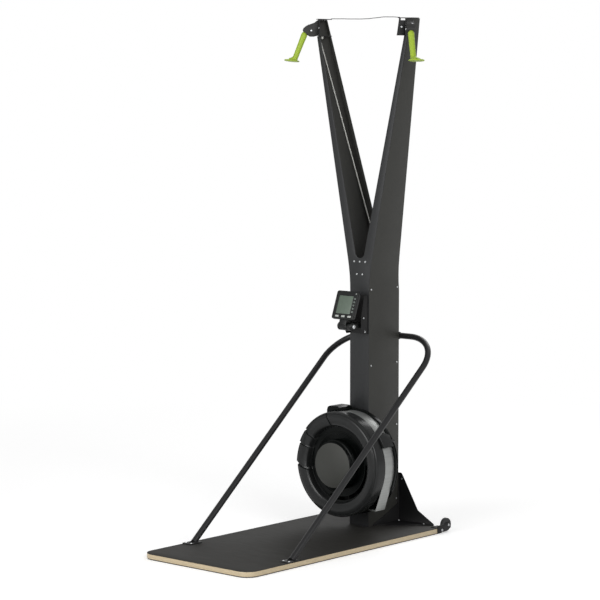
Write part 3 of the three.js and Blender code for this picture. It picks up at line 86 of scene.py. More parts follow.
# The deck, the column and its arms
DECK_FRONT = -635.0
COLUMN_FRONT = 1004.0
COLUMN_HALF = 51.2
BEND_START = 1013.0
BEND_RISE = 140.0
ARM_TOP = 2153.0
ARM_SPREAD = 207.0
ARM_LEAN = 9.0

# The fan's hub and the top pulleys
HUB_HEIGHT = 303.0
PULLEY_TURN = math.radians(45)
PULLEY_CENTRE = (268.5, 1001.5, 2108.0)
PULLEY_PITCH = 20.0
PULL_LEAN = math.radians(21.5)

# The monitor's face
MONITOR_TILT = math.radians(20.2)
MONITOR_CENTRE = (0.0, 910.5, 968.5)


def linear(code):
    """An sRGB hex colour as the linear colour that Blender's sockets take."""
    parts = [int(code[i : i + 2], 16) / 255 for i in (1, 3, 5)]
    return tuple(c / 12.92 if c <= 0.04045 else ((c + 0.055) / 1.055) ** 2.4 for c in parts)


def place(x, y, z):
    """A point in millimetres, with y from the deck's front edge, as a point of the frame in metres."""
    return Vector((x, y + DECK_FRONT, z)) * MM


def mirror_x(side):
    """The matrix that leaves a right-hand piece as it is, or mirrors it for the left side."""
    return Matrix.Diagonal((side, 1, 1, 1))


def deck_frame():
    """From millimetres, with y from the deck's front edge, to the frame in metres."""
    return Matrix.Translation(place(0, 0, 0)) @ TO_METRES


def pulley_frame():
    """From the right top pulley's forward, across and up, in millimetres, to the frame in metres."""
    return Matrix.Translation(place(*PULLEY_CENTRE)) @ Matrix.Rotation(-PULLEY_TURN, 4, "Z") @ TO_METRES


def hub_frame():
    """From the fan's hub, with +Z towards the user, in millimetres, to the frame in metres."""
    turn = Matrix.Rotation(math.pi / 2, 4, "X")
    return Matrix.Translation(place(0, COLUMN_FRONT, HUB_HEIGHT)) @ turn @ TO_METRES


def monitor_frame():
    """From the middle of the monitor's face, in millimetres, to the frame in metres."""
    turn = Matrix.Rotation(math.pi / 2 - MONITOR_TILT, 4, "X")
    return Matrix.Translation(place(*MONITOR_CENTRE)) @ turn @ TO_METRES


def cord_exit():
    """Where the cord leaves the top pulley, and the way it is pulled, in the pulley's own frame."""
    forward, up = math.cos(PULL_LEAN), math.sin(PULL_LEAN)
    return Vector((forward, 0, up)) * PULLEY_PITCH, Vector((up, 0, -forward))


# Properties: what a user would change


def colour(name, description, code):
    return FloatVectorProperty(
        name=name, description=description, subtype="COLOR", size=3, min=0, max=1, default=linear(code)
    )


def length(name, description, mm):
    return FloatProperty(
        name=name, description=description, unit="LENGTH", subtype="DISTANCE", min=0, default=mm * MM
    )


def angle(name, description, degrees):
    return FloatProperty(
        name=name, description=description, subtype="ANGLE", default=math.radians(degrees)
    )


def power(name, description, watts):
    return FloatProperty(name=name, description=description, subtype="POWER", min=0, default=watts)


class ErgometerColours(bpy.types.PropertyGroup):
    side_paint: colour("Side Paint", "Powder coat on the column's sides, the arms and the rear", "#353532")
    # The front's colour is darker than the sides' to paint the shade on the front face
    front_paint_and_shade: colour("Front Paint And Shade", "Powder coat on the column's front", "#272829")
    black_paint: colour("Black Paint", "Powder coat on brackets and feet", "#0a0a0b")
    tube_paint: colour("Tube Paint", "Powder coat on the brace tubes", "#202021")
    deck_film: colour("Deck Film", "Phenolic film on the deck's top", "#242320")
    plywood: colour("Plywood", "Lighter plies of the deck's edge", "#dcc9a6")
    grip: colour("Grip", "Moulded grips", "#9cb62c")
    cord: colour("Cord", "Drive and handle cords", "#ecece6")
    shell: colour("Shell", "Moulded fan housing", "#222323")
    nylon: colour("Nylon", "Pulleys and drums", "#47484a")
    screen_sheet: colour("Screen Sheet", "Perforated band round the fan", "#a5a7a5")
    # On the monitor this is the case's own black; on the housing's shaded parts it paints their shade
    case: colour("Case", "Moulded case of the monitor and block over the fan", "#070a09")
    cheek: colour("Cheek", "Moulded housings of the top pulleys", "#2c2c2b")
    cap: colour("Cap", "Matt face of the fan's centre cap", "#2b2c27")
    display: colour("Display", "Unlit crystal of the monitor", "#616f62")
    key: colour("Key", "Pale silicone keys under the display", "#b9bdb8")
    side_key: colour("Side Key", "Darker silicone keys beside the display", "#6a716c")


class ErgometerSizes(bpy.types.PropertyGroup):
    tube_diameter: length("Tube Diameter", "Outside diameter of the brace tubes", 25.4)
    bend_radius: length("Bend Radius", "Radius of the brace tubes' bends", 165)
    cord_diameter: length("Cord Diameter", "Diameter of the drive cords", 4.4)
    tie_diameter: length("Tie Diameter", "Diameter of the cable between the arms", 3)
    screw_radius: length("Screw Radius", "Radius of the frame's button-head screws", 4.2)
    grip_length: length("Grip Length", "From a grip's top to the underside of its foot", 130)
    grip_start: length("Grip Start", "From the pulley to a grip's top, along the cord", 21)
    palm_radius: length("Palm Radius", "Radius of the round foot of a grip", 33)
    shell_radius: length("Shell Radius", "Outside radius of the front shell", 222)
    shell_wall: length("Shell Wall", "Wall of the front shell", 2.8)
    columns: IntProperty(
        name="Columns", description="Steps round the turned pieces", default=144, min=48, max=360
    )


class ErgometerStudio(bpy.types.PropertyGroup):
    azimuth: angle("Azimuth", "Camera's turn from straight ahead", 41.53)
    pitch: angle("Pitch", "Camera's dip", 5.67)
    lens: FloatProperty(name="Lens", description="Focal length", unit="CAMERA", default=141.12)
    ambient: FloatProperty(name="Ambient", description="Light from all round", default=0.3, min=0)
    key_power: power("Key Power", "Main soft light", 330)
    fill_power: power("Fill Power", "Side soft light", 150)


# Materials


def put(tree, kind, values=None, links=None):
    """Adds one node, with its settings or input values, and its links from other nodes' sockets."""
    made = tree.nodes.new(kind)
    for key, value in (values or {}).items():
        if isinstance(key, str) and hasattr(made, key):
            setattr(made, key, value)
        else:
            made.inputs[key].default_value = value
    for key, socket in (links or {}).items():
        tree.links.new(socket, made.inputs[key])
    return made


def blank(name, **values):
    """A material with its shader, whose constant values sit on the shader's own sockets."""
    material = bpy.data.materials.new(name)
    material.use_nodes = True
    tree = material.node_tree
    tree.nodes.clear()
    shader = put(tree, "ShaderNodeBsdfPrincipled", {k.replace("_", " "): v for k, v in values.items()})
    put(tree, "ShaderNodeOutputMaterial", links={"Surface": shader.outputs["BSDF"]})
    coords = put(tree, "ShaderNodeTexCoord").outputs["Object"]
    return material, tree, shader, coords


def per_metre(mm):
    """Texture scale that repeats once in a given number of millimetres."""
    return 1.0 / (mm * MM)


def shade(base, share=1.0):
    """A colour's value for a socket, at a share of its light."""
    return [min(1.0, c * share) for c in base] + [1]


def two_tone(tree, first, second, share):
    """Mixes two colours by a share that another node gives."""
    mix = put(tree, "ShaderNodeMix", {"data_type": "RGBA"}, {0: share})
    mix.inputs[6].default_value = first
    mix.inputs[7].default_value = second
    return mix.outputs[2]


def noise_value(tree, coords, spot_mm, detail):
    """Soft noise with spots of a real size."""
    scale = {"Scale": per_metre(spot_mm), "Detail": detail}
    return put(tree, "ShaderNodeTexNoise", scale, {"Vector": coords}).outputs["Fac"]


def mottled(tree, coords, base, spot_mm, strength):
    """A colour that drifts a little over a given distance, as painted and moulded faces do."""
    spots = noise_value(tree, coords, spot_mm, 3.0)
    return two_tone(tree, shade(base, 1 - strength), shade(base, 1 + strength), spots)


def bumped(tree, height, height_mm, strength):
    """A normal that stands for relief of a real height."""
    settings = {"Strength": strength, "Distance": height_mm * MM}
    return put(tree, "ShaderNodeBump", settings, {"Height": height}).outputs["Normal"]


def grain(tree, coords, grain_mm, height_mm, strength):
    """A bump from fine grain of a real size."""
    return bumped(tree, noise_value(tree, coords, grain_mm, 2.0), height_mm, strength)


def varied(tree, coords, spot_mm, limits):
    """A value that drifts between two limits over a given distance."""
    low, high = limits
    spots = noise_value(tree, coords, spot_mm, 2.0)
    ranged = put(tree, "ShaderNodeMapRange", {"To Min": low, "To Max": high}, {"Value": spots})
    return ranged.outputs["Result"]


def powder_coat(name, base, roughness, grain_mm=1.6, height_mm=0.05):
    # Polyester powder baked on steel: a fine orange peel that breaks up highlights, paler on rubbed edges
    material, tree, shader, coords = blank(name, Metallic=0.0, IOR=1.5, Specular_IOR_Level=0.35)
    body = mottled(tree, coords, base, spot_mm=160, strength=0.07)
    # An edge is where the normal rounded over this radius leaves the face's own
    rub_mm = 1.2
    soft = put(tree, "ShaderNodeBevel", {"samples": 4, "Radius": rub_mm * MM})
    geometry = put(tree, "ShaderNodeNewGeometry")
    facing = put(
        tree,
        "ShaderNodeVectorMath",
        {"operation": "DOT_PRODUCT"},
        {0: soft.outputs["Normal"], 1: geometry.outputs["Normal"]},
    )
    edge = put(
        tree,
        "ShaderNodeMapRange",
        {"From Min": 0.99, "From Max": 0.8, "To Min": 0.0, "To Max": 0.35},
        {"Value": facing.outputs["Value"]},
    )
    worn = put(tree, "ShaderNodeMix", {"data_type": "RGBA"}, {0: edge.outputs["Result"], 6: body})
    worn.inputs[7].default_value = [min(1.0, c * 2.0 + 0.01) for c in base] + [1]
    tree.links.new(worn.outputs[2], shader.inputs["Base Color"])
    tree.links.new(varied(tree, coords, 60, roughness), shader.inputs["Roughness"])
    tree.links.new(grain(tree, coords, grain_mm, height_mm, strength=0.35), shader.inputs["Normal"])
    return material


def moulded(name, base, roughness, grain_mm, height_mm, ior=1.5, sheen=0.0, specular=0.5):
    # Injection-moulded plastic: even colour with a spark-eroded grain and a soft, slightly patchy shine
    material, tree, shader, coords = blank(
        name, Metallic=0.0, IOR=ior, Sheen_Weight=sheen, Specular_IOR_Level=specular
    )
    tree.links.new(mottled(tree, coords, base, spot_mm=90, strength=0.05), shader.inputs["Base Color"])
    tree.links.new(varied(tree, coords, 35, roughness), shader.inputs["Roughness"])
    tree.links.new(grain(tree, coords, grain_mm, height_mm, strength=0.3), shader.inputs["Normal"])
    return material


def birch_plywood(name, base, ply_mm=1.45):
    # Rotary-cut birch plies, sanded and varnished: thin layers, every other one end grain and darker
    material, tree, shader, coords = blank(name, Metallic=0.0, IOR=1.5, Roughness=0.42, Coat_Weight=0.25)
    split = put(tree, "ShaderNodeSeparateXYZ", links={"Vector": coords})
    layer = put(
        tree,
        "ShaderNodeMath",
        {"operation": "MULTIPLY", 1: math.pi * per_metre(ply_mm)},
        {0: split.outputs["Z"]},
    )
    wave = put(tree, "ShaderNodeMath", {"operation": "SINE"}, {0: layer.outputs[0]})
    crisp = put(
        tree,
        "ShaderNodeMapRange",
        {"From Min": -0.25, "From Max": 0.25, "To Min": 0.0, "To Max": 1.0},
        {"Value": wave.outputs[0]},
    )
    # Fibres 17 mm long and 1.1 mm thick, coarser than real ones so that they show
    along, through = per_metre(16.67), per_metre(1.11)
    stretch = put(tree, "ShaderNodeMapping", {"Scale": (along, along, through)}, {"Vector": coords})
    fibre = put(
        tree, "ShaderNodeTexNoise", {"Scale": 1.0, "Detail": 4.0}, {"Vector": stretch.outputs["Vector"]}
    )
    plies = two_tone(tree, shade(base, 0.72), shade(base), crisp.outputs["Result"])
    streak = put(
        tree,
        "ShaderNodeMapRange",
        {"From Min": 0.3, "From Max": 0.7, "To Min": 0.86, "To Max": 1.06},
        {"Value": fibre.outputs["Fac"]},
    )
    toned = put(
        tree,
        "ShaderNodeMix",
        {"data_type": "RGBA", "blend_type": "MULTIPLY", 0: 1.0},
        {6: plies, 7: streak.outputs["Result"]},
    )
    tree.links.new(toned.outputs[2], shader.inputs["Base Color"])
    sanded = grain(tree, coords, grain_mm=0.8, height_mm=0.04, strength=0.25)
    tree.links.new(sanded, shader.inputs["Normal"])
    return material


def phenolic_film(name, base):
    # Resin film pressed on plywood with a fine non-slip mesh: dull, with scuffs that shine a little
    material, tree, shader, coords = blank(name, Metallic=0.0, IOR=1.5, Specular_IOR_Level=0.3)
    tree.links.new(mottled(tree, coords, base, spot_mm=240, strength=0.1), shader.inputs["Base Color"])
    # Scuffs are 71 mm across the deck and 11 mm along it
    across, along = per_metre(71.4), per_metre(11.1)
    scuffs = put(tree, "ShaderNodeMapping", {"Scale": (across, along, across)}, {"Vector": coords})
    noise = put(
        tree, "ShaderNodeTexNoise", {"Scale": 1.0, "Detail": 5.0}, {"Vector": scuffs.outputs["Vector"]}
    )
    rough = put(
        tree, "ShaderNodeMapRange", {"To Min": 0.6, "To Max": 0.74}, {"Value": noise.outputs["Fac"]}
    )
    tree.links.new(rough.outputs["Result"], shader.inputs["Roughness"])
    # The pressed mesh is 1 mm apart, drawn 3 mm apart so that it shows
    mesh = put(
        tree, "ShaderNodeTexVoronoi", {"Scale": per_metre(3.0), "Randomness": 0.2}, {"Vector": coords}
    )
    pressed = bumped(tree, mesh.outputs["Distance"], height_mm=0.1, strength=0.2)
    tree.links.new(pressed, shader.inputs["Normal"])
    return material


def braided(name, base, pick_mm):
    # Polyester yarn braided round a core: crossing picks that shade each other, with a soft sheen
    material, tree, shader, coords = blank(name, Metallic=0.0, Roughness=0.8, Sheen_Weight=0.4)
    # Turned, so that the picks lie askew to a cord that runs upright or level
    askew = math.radians(34.38)
    turned = put(tree, "ShaderNodeMapping", {"Rotation": (askew,) * 3}, {"Vector": coords})
    picks = put(
        tree,
        "ShaderNodeTexVoronoi",
        {"Scale": per_metre(pick_mm), "Randomness": 0.15},
        {"Vector": turned.outputs["Vector"]},
    )
    tone = two_tone(tree, shade(base), shade(base, 0.55), picks.outputs["Distance"])
    tree.links.new(tone, shader.inputs["Base Color"])
    woven = bumped(tree, picks.outputs["Distance"], height_mm=0.4, strength=0.5)
    tree.links.new(woven, shader.inputs["Normal"])
    return material


def metal(name, base, roughness, scratch_mm, stretch=(1, 1, 1)):
    # Plated or turned steel: true metal reflections, drawn out along the tool marks
    material, tree, shader, coords = blank(name, Metallic=1.0)
    shader.inputs["Base Color"].default_value = shade(base)
    drawn = put(tree, "ShaderNodeMapping", {"Scale": stretch}, {"Vector": coords})
    marks = drawn.outputs["Vector"]
    tree.links.new(varied(tree, marks, scratch_mm, roughness), shader.inputs["Roughness"])
    scratches = grain(tree, marks, scratch_mm, height_mm=0.02, strength=0.3)
    tree.links.new(scratches, shader.inputs["Normal"])
    return material


def perforated_sheet(name, base):
    # Punched stainless band: 1.5 mm holes at 2.5 mm centres, drawn 4 mm apart so that they show
    material, tree, shader, coords = blank(name, Metallic=0.75, Roughness=0.42)
    holes = put(
        tree, "ShaderNodeTexVoronoi", {"Scale": per_metre(4.0), "Randomness": 0.0}, {"Vector": coords}
    )
    mask = put(
        tree,
        "ShaderNodeMapRange",
        {"From Min": 0.22, "From Max": 0.32, "To Min": 0.35, "To Max": 0.0},
        {"Value": holes.outputs["Distance"]},
    )
    punched = two_tone(tree, shade(base), shade(base, 0.15), mask.outputs["Result"])
    tree.links.new(punched, shader.inputs["Base Color"])
    rolled = grain(tree, coords, grain_mm=8, height_mm=0.05, strength=0.2)
    tree.links.new(rolled, shader.inputs["Normal"])
    return material


def crystal_display(name, base):
    # Reflective liquid crystal behind acrylic: a grey-green field with a faint pixel grid, under a window
    material, tree, shader, coords = blank(
        name, Metallic=0.0, Roughness=0.5, Coat_Weight=0.3, Coat_Roughness=0.2
    )
    # Its pixels are taken as 0.5 mm apart, which is a guess, and drawn 1.2 mm apart so that they show
    grid = put(
        tree,
        "ShaderNodeTexBrick",
        {
            "offset": 0.0,
            "Scale": per_metre(1.2),
            "Mortar Size": 0.06,
            "Brick Width": 1.0,
            "Row Height": 1.0,
            "Color1": shade(base),
            "Color2": shade(base, 0.96),
            "Mortar": shade(base, 0.86),
        },
        {"Vector": coords},
    )
    fade = mottled(tree, coords, linear("#f3f6f3"), spot_mm=70, strength=0.12)
    toned = put(
        tree,
        "ShaderNodeMix",
        {"data_type": "RGBA", "blend_type": "MULTIPLY", 0: 1.0},
        {6: grid.outputs["Color"], 7: fade},
    )
    tree.links.new(toned.outputs[2], shader.inputs["Base Color"])
    return material


def made_finishes(c):
    """Every finish by its slot's name. Each comment says what the eye gets from it."""
    return {
        # Charcoal powder on the column's sides and the arms: dull and even, paler on rubbed edges
        "frame_paint": powder_coat("PowderCoatedSteelCharcoal", c.side_paint, roughness=(0.42, 0.54)),
        # Powder on the column's front, darker than on its sides: the extra darkness is painted shade on the
        # front face, which sets it off from its sides
        "frame_front_paint": powder_coat("PowderCoatedSteelFrontPaintedShade", c.front_paint_and_shade, roughness=(0.4, 0.52)),
        # Black powder on brackets and feet, which show by their outline more than by their light
        "black_paint": powder_coat("PowderCoatedSteelBlack", c.black_paint, roughness=(0.45, 0.58)),
        # Hammered powder on the braces, whose highlight breaks up into specks
        "tube_paint": powder_coat(
            "PowderCoatedTubeHammered", c.tube_paint, roughness=(0.26, 0.4), grain_mm=4.0, height_mm=0.5
        ),
        # Pressed film on the deck: one flat dark field
        "deck_face": phenolic_film("PhenolicFilmPressed", c.deck_film),
        # Sanded plies at the deck's edge: a pale band with fine brown lines
        "plywood": birch_plywood("BirchPlywoodVarnished", c.plywood),
        # Rubber under the deck: near black and without shine
        "pad_rubber": moulded(
            "NaturalRubberSheet",
            linear("#1c1c1c"),
            roughness=(0.75, 0.9),
            grain_mm=0.9,
            height_mm=0.12,
            ior=1.52,
        ),
        # Soft grips: a bright colour with a faint bloom along the outline
        "grip_plastic": moulded(
            "ThermoplasticElastomerMoulded",
            c.grip,
            roughness=(0.42, 0.55),
            grain_mm=0.7,
            height_mm=0.06,
            sheen=0.1,
        ),
        # White braid: a thin pale line, finely woven close by
        "cord": braided("PolyesterCordBraided", c.cord, pick_mm=1.6),
        # Dark braid over rubber strands
        "shock_cord": braided("ElasticCordBraided", linear("#2b2b2f"), pick_mm=1.6),
        # Fan housing: black with broad, soft highlights on its round edges
        "housing_plastic": moulded(
            "AbsMouldedSatin",
            c.shell,
            roughness=(0.2, 0.3),
            grain_mm=1.0,
            height_mm=0.035,
            ior=1.54,
            specular=0.25,
        ),
        # Black parts in the housing's shade: deep black, with small highlights. It is a darker, less shiny
        # copy of the shell's black, which paints the shade these parts sit in
        "black_gloss": moulded(
            "AbsMouldedGlossPaintedShade",
            c.case,
            roughness=(0.2, 0.3),
            grain_mm=1.0,
            height_mm=0.01,
            ior=1.54,
            specular=0.1,
        ),
        # The monitor's case: black, with a fine grain that dulls it
        "case_plastic": moulded(
            "AbsMouldedFineGrain",
            c.case,
            roughness=(0.36, 0.46),
            grain_mm=0.8,
            height_mm=0.03,
            ior=1.54,
            specular=0.35,
        ),
        # Pulley housings: matt, and close in tone to the arms that carry them
        "cheek_plastic": moulded(
            "NylonMouldedMatt",
            c.cheek,
            roughness=(0.5, 0.62),
            grain_mm=1.0,
            height_mm=0.04,
            ior=1.53,
            specular=0.35,
        ),
        # Flywheel: black powder that shows only as a shade behind the vent
        "fan_steel": powder_coat("PowderCoatedSteelFan", linear("#0c0c0d"), roughness=(0.4, 0.5)),
        # Film on the centre cap: a plain matt disc, lighter than the recess round it
        "cap_face": moulded(
            "PolycarbonateFilmMatt", c.cap, roughness=(0.5, 0.6), grain_mm=0.8, height_mm=0.02, ior=1.58
        ),
        # Keys beside the display: mid grey, soft and dull
        "side_key": moulded(
            "SiliconeRubberMouldedDark",
            c.side_key,
            roughness=(0.5, 0.62),
            grain_mm=0.8,
            height_mm=0.03,
            ior=1.41,
        ),
        # Pulleys and drums: grey and slightly waxy
        "pulley_nylon": moulded(
            "NylonMoulded", c.nylon, roughness=(0.45, 0.55), grain_mm=1.2, height_mm=0.03, ior=1.53
        ),
        # Turned axles: bright, with fine rings from the tool
        "steel": metal(
            "SteelTurned", linear("#b9bbbc"), roughness=(0.28, 0.42), scratch_mm=1.5, stretch=(1, 6, 1)
        ),
        # Plated screws: small bright points
        "zinc": metal("SteelZincPlated", linear("#c9cbcc"), roughness=(0.26, 0.4), scratch_mm=2.0),
        # Band round the fan: a silvery grey, dulled by its holes
        "screen_mesh": perforated_sheet("StainlessSheetPerforated", c.screen_sheet),
        # Unlit display: grey-green and even, behind a clear window
        "display": crystal_display("LiquidCrystalUnderAcrylic", c.display),
        # Keys under the display: pale, soft and dull
        "key": moulded(
            "SiliconeRubberMoulded", c.key, roughness=(0.5, 0.62), grain_mm=0.8, height_mm=0.03, ior=1.41
        ),
        # Cast tyres: dark and a little smoother than rubber
        "wheel_rubber": moulded(
            "PolyurethaneCast", linear("#232324"), roughness=(0.5, 0.65), grain_mm=1.4, height_mm=0.06
        ),
        # Rollers at the arm tops: the natural off-white of undyed nylon
        "pale_nylon": moulded(
            "NylonNaturalTurned",
            linear("#d9d9d2"),
            roughness=(0.4, 0.5),
            grain_mm=1.2,
            height_mm=0.03,
            ior=1.53,
        ),
    }


_finishes = {}


def finishes(scene):
    """The finishes, made when they are first asked for."""
    if not _finishes:
        _finishes.update(made_finishes(scene.ergometer_colours))
    return _finishes


# Mesh helpers


def finish_piece(scene, name, bm, slot, body, replaced=(), sharp=SHARP, matrix=None):
    """Turns a bmesh into a named piece: smooth but for its sharp edges, finished, and riding on its body.

    Where it runs from one body to another, body is the two bodies and the points between which it gives, and
    the piece is only fixed where it lies.
    """
    if matrix is not None:
        bm.transform(matrix)
        if matrix.to_3x3().determinant() < 0:
            bmesh.ops.reverse_faces(bm, faces=bm.faces)
    bm.normal_update()
    for face in bm.faces:
        face.smooth = True
    for edge in bm.edges:
        edge.smooth = len(edge.link_faces) == 2 and edge.calc_face_angle(0) < sharp
    mesh = bpy.data.meshes.new(name)
    bm.to_mesh(mesh)
    bm.free()
    if not mesh.polygons:
        raise RuntimeError(f"{name} came out empty")
    mesh.materials.append(finishes(scene)[slot])
    piece = bpy.data.objects.new(name, mesh)
    scene.collection.objects.link(piece)
    if isinstance(body, str):
        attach(piece, body)
    else:
        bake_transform(piece)
    if replaced:
        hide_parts(*replaced)
    return piece


def body_of_node(node):
    """The body that a CAD node rides on."""
    return frame["nodes"][node]["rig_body"]


def soften(points, radius, steps=3):
    """A profile with each of its inner corners rounded off."""
    count = len(points)
    # A round takes at most this share of the runs beside it, so that two rounds never meet
    most_share = 0.45
    out = []
    for i, (r, z) in enumerate(points):
        if i in (0, count - 1):
            out.append((r, z))
            continue
        here = Vector((r, z))
        before, after = Vector(points[i - 1]), Vector(points[i + 1])
        reach = min(radius, *((p - here).length * most_share for p in (before, after)))
        start = here + (before - here).normalized() * reach
        end = here + (after - here).normalized() * reach
        for k in range(steps + 1):
            t = k / steps
            p = start * (1 - t) ** 2 + here * 2 * t * (1 - t) + end * t * t
            out.append((p.x, p.y))
    return out


def revolve(bm, profile, columns, closed=False, shape=None):
    """Turns a profile of radius and height about local Z. Shape may move each point by its angle."""
    rings = []
    for r, z in profile:
        if r < 1e-6:
            rings.append([bm.verts.new((0, 0, z))])
            continue
        ring = []
        for i in range(columns):
            angle = 2 * math.pi * i / columns
            p = Vector((r * math.cos(angle), r * math.sin(angle), z))
            ring.append(bm.verts.new(shape(p) if shape else p))
        rings.append(ring)
    pairs = list(zip(rings, rings[1:])) + ([(rings[-1], rings[0])] if closed else [])
    for a, b in pairs:
        for i in range(columns):
            j = (i + 1) % columns
            loop = [a[i % len(a)], a[j % len(a)], b[j % len(b)], b[i % len(b)]]
            corners = list(dict.fromkeys(loop))
            if len(corners) > 2:
                bm.faces.new(corners)
    bmesh.ops.recalc_face_normals(bm, faces=bm.faces)


def sweep(bm, points, radius, sides, capped=True):
    """A round bar along a route, with its sections square to the mean direction."""
    points = [Vector(p) for p in points]
    up = None
    rings = []
    for i, here in enumerate(points):
        before, after = points[max(i - 1, 0)], points[min(i + 1, len(points) - 1)]
        along = ((here - before).normalized() + (after - here).normalized()).normalized()
        if up is None:
            up = along.orthogonal().normalized()
        up = (up - along * up.dot(along)).normalized()
        across = along.cross(up)
        rings.append(
            [
                bm.verts.new(here + (up * math.cos(a) + across * math.sin(a)) * radius)
                for a in (2 * math.pi * k / sides for k in range(sides))
            ]
        )
    for a, b in zip(rings, rings[1:]):
        for k in range(sides):
            m = (k + 1) % sides
            bm.faces.new((a[k], a[m], b[m], b[k]))
    if capped:
        bm.faces.new(list(reversed(rings[0])))
        bm.faces.new(rings[-1])
    bmesh.ops.recalc_face_normals(bm, faces=bm.faces)


def box_into(bm, low, high, edge):
    """A plate with its edges eased."""
    made = bmesh.ops.create_cube(bm, size=1)["verts"]
    size = Vector(high) - Vector(low)
    middle = (Vector(high) + Vector(low)) / 2
    bmesh.ops.scale(bm, verts=made, vec=size)
    bmesh.ops.translate(bm, verts=made, vec=middle)
    edges = list({e for v in made for e in v.link_edges})
    bmesh.ops.bevel(bm, geom=edges, offset=edge, segments=2, profile=0.5, affect="EDGES")


def eased_copy(scene, node, slot, edge_mm):
    """Stands for a hard CAD node, with its edges rounded as a press, a mould or a saw leaves them."""
    weld = 0.01 * MM
    flat = math.radians(0.6)
    corner = math.radians(33)
    bm = bmesh.new()
    bm.from_mesh(frame["nodes"][node].data)
    bmesh.ops.remove_doubles(bm, verts=bm.verts, dist=weld)
    bmesh.ops.dissolve_limit(bm, angle_limit=flat, verts=bm.verts, edges=bm.edges)
    hard = [e for e in bm.edges if len(e.link_faces) == 2 and e.calc_face_angle(0) > corner]
    if hard:
        bmesh.ops.bevel(
            bm,
            geom=hard,
            offset=edge_mm * MM,
            offset_type="OFFSET",
            segments=2,
            profile=0.5,
            affect="EDGES",
            clamp_overlap=True,
        )
    bmesh.ops.triangulate(bm, faces=[f for f in bm.faces if len(f.verts) > 4])
    return finish_piece(scene, f"{node}_dressed", bm, slot, body_of_node(node), (node,))


def smooth_route(corners, radius, steps):
    """A route of straight runs with round bends at its inner corners."""
    corners = [Vector(c) for c in corners]
    route = [corners[0]]
    for before, here, after in zip(corners, corners[1:], corners[2:]):
        back, on = (before - here).normalized(), (after - here).normalized()
        turn = math.acos(max(-1, min(1, -back.dot(on))))
        setback = radius * math.tan(turn / 2)
        centre = here + (back + on).normalized() * math.hypot(radius, setback)
        start = here + back * setback - centre
        axis = on.cross(back).normalized()
        for k in range(steps + 1):
            route.append(centre + Matrix.Rotation(turn * k / steps, 3, axis) @ start)
    route.append(corners[-1])
    return route


def arm_outer(z):
    """Outer face of the column and its arms at a height: upright, then bent, then straight to the top."""
    rise = z - BEND_START
    slope = ARM_SPREAD / (ARM_TOP - BEND_START - BEND_RISE / 2)
    if rise <= 0:
        return COLUMN_HALF
    if rise < BEND_RISE:
        return COLUMN_HALF + slope * rise * rise / (2 * BEND_RISE)
    return COLUMN_HALF + slope * (rise - BEND_RISE / 2)


def arm_front(z):
    """Front face of the column and its arms at a height."""
    return COLUMN_FRONT + ARM_LEAN / (ARM_TOP - BEND_START) * max(0.0, z - BEND_START)


# Operators: one for each piece or group of like pieces


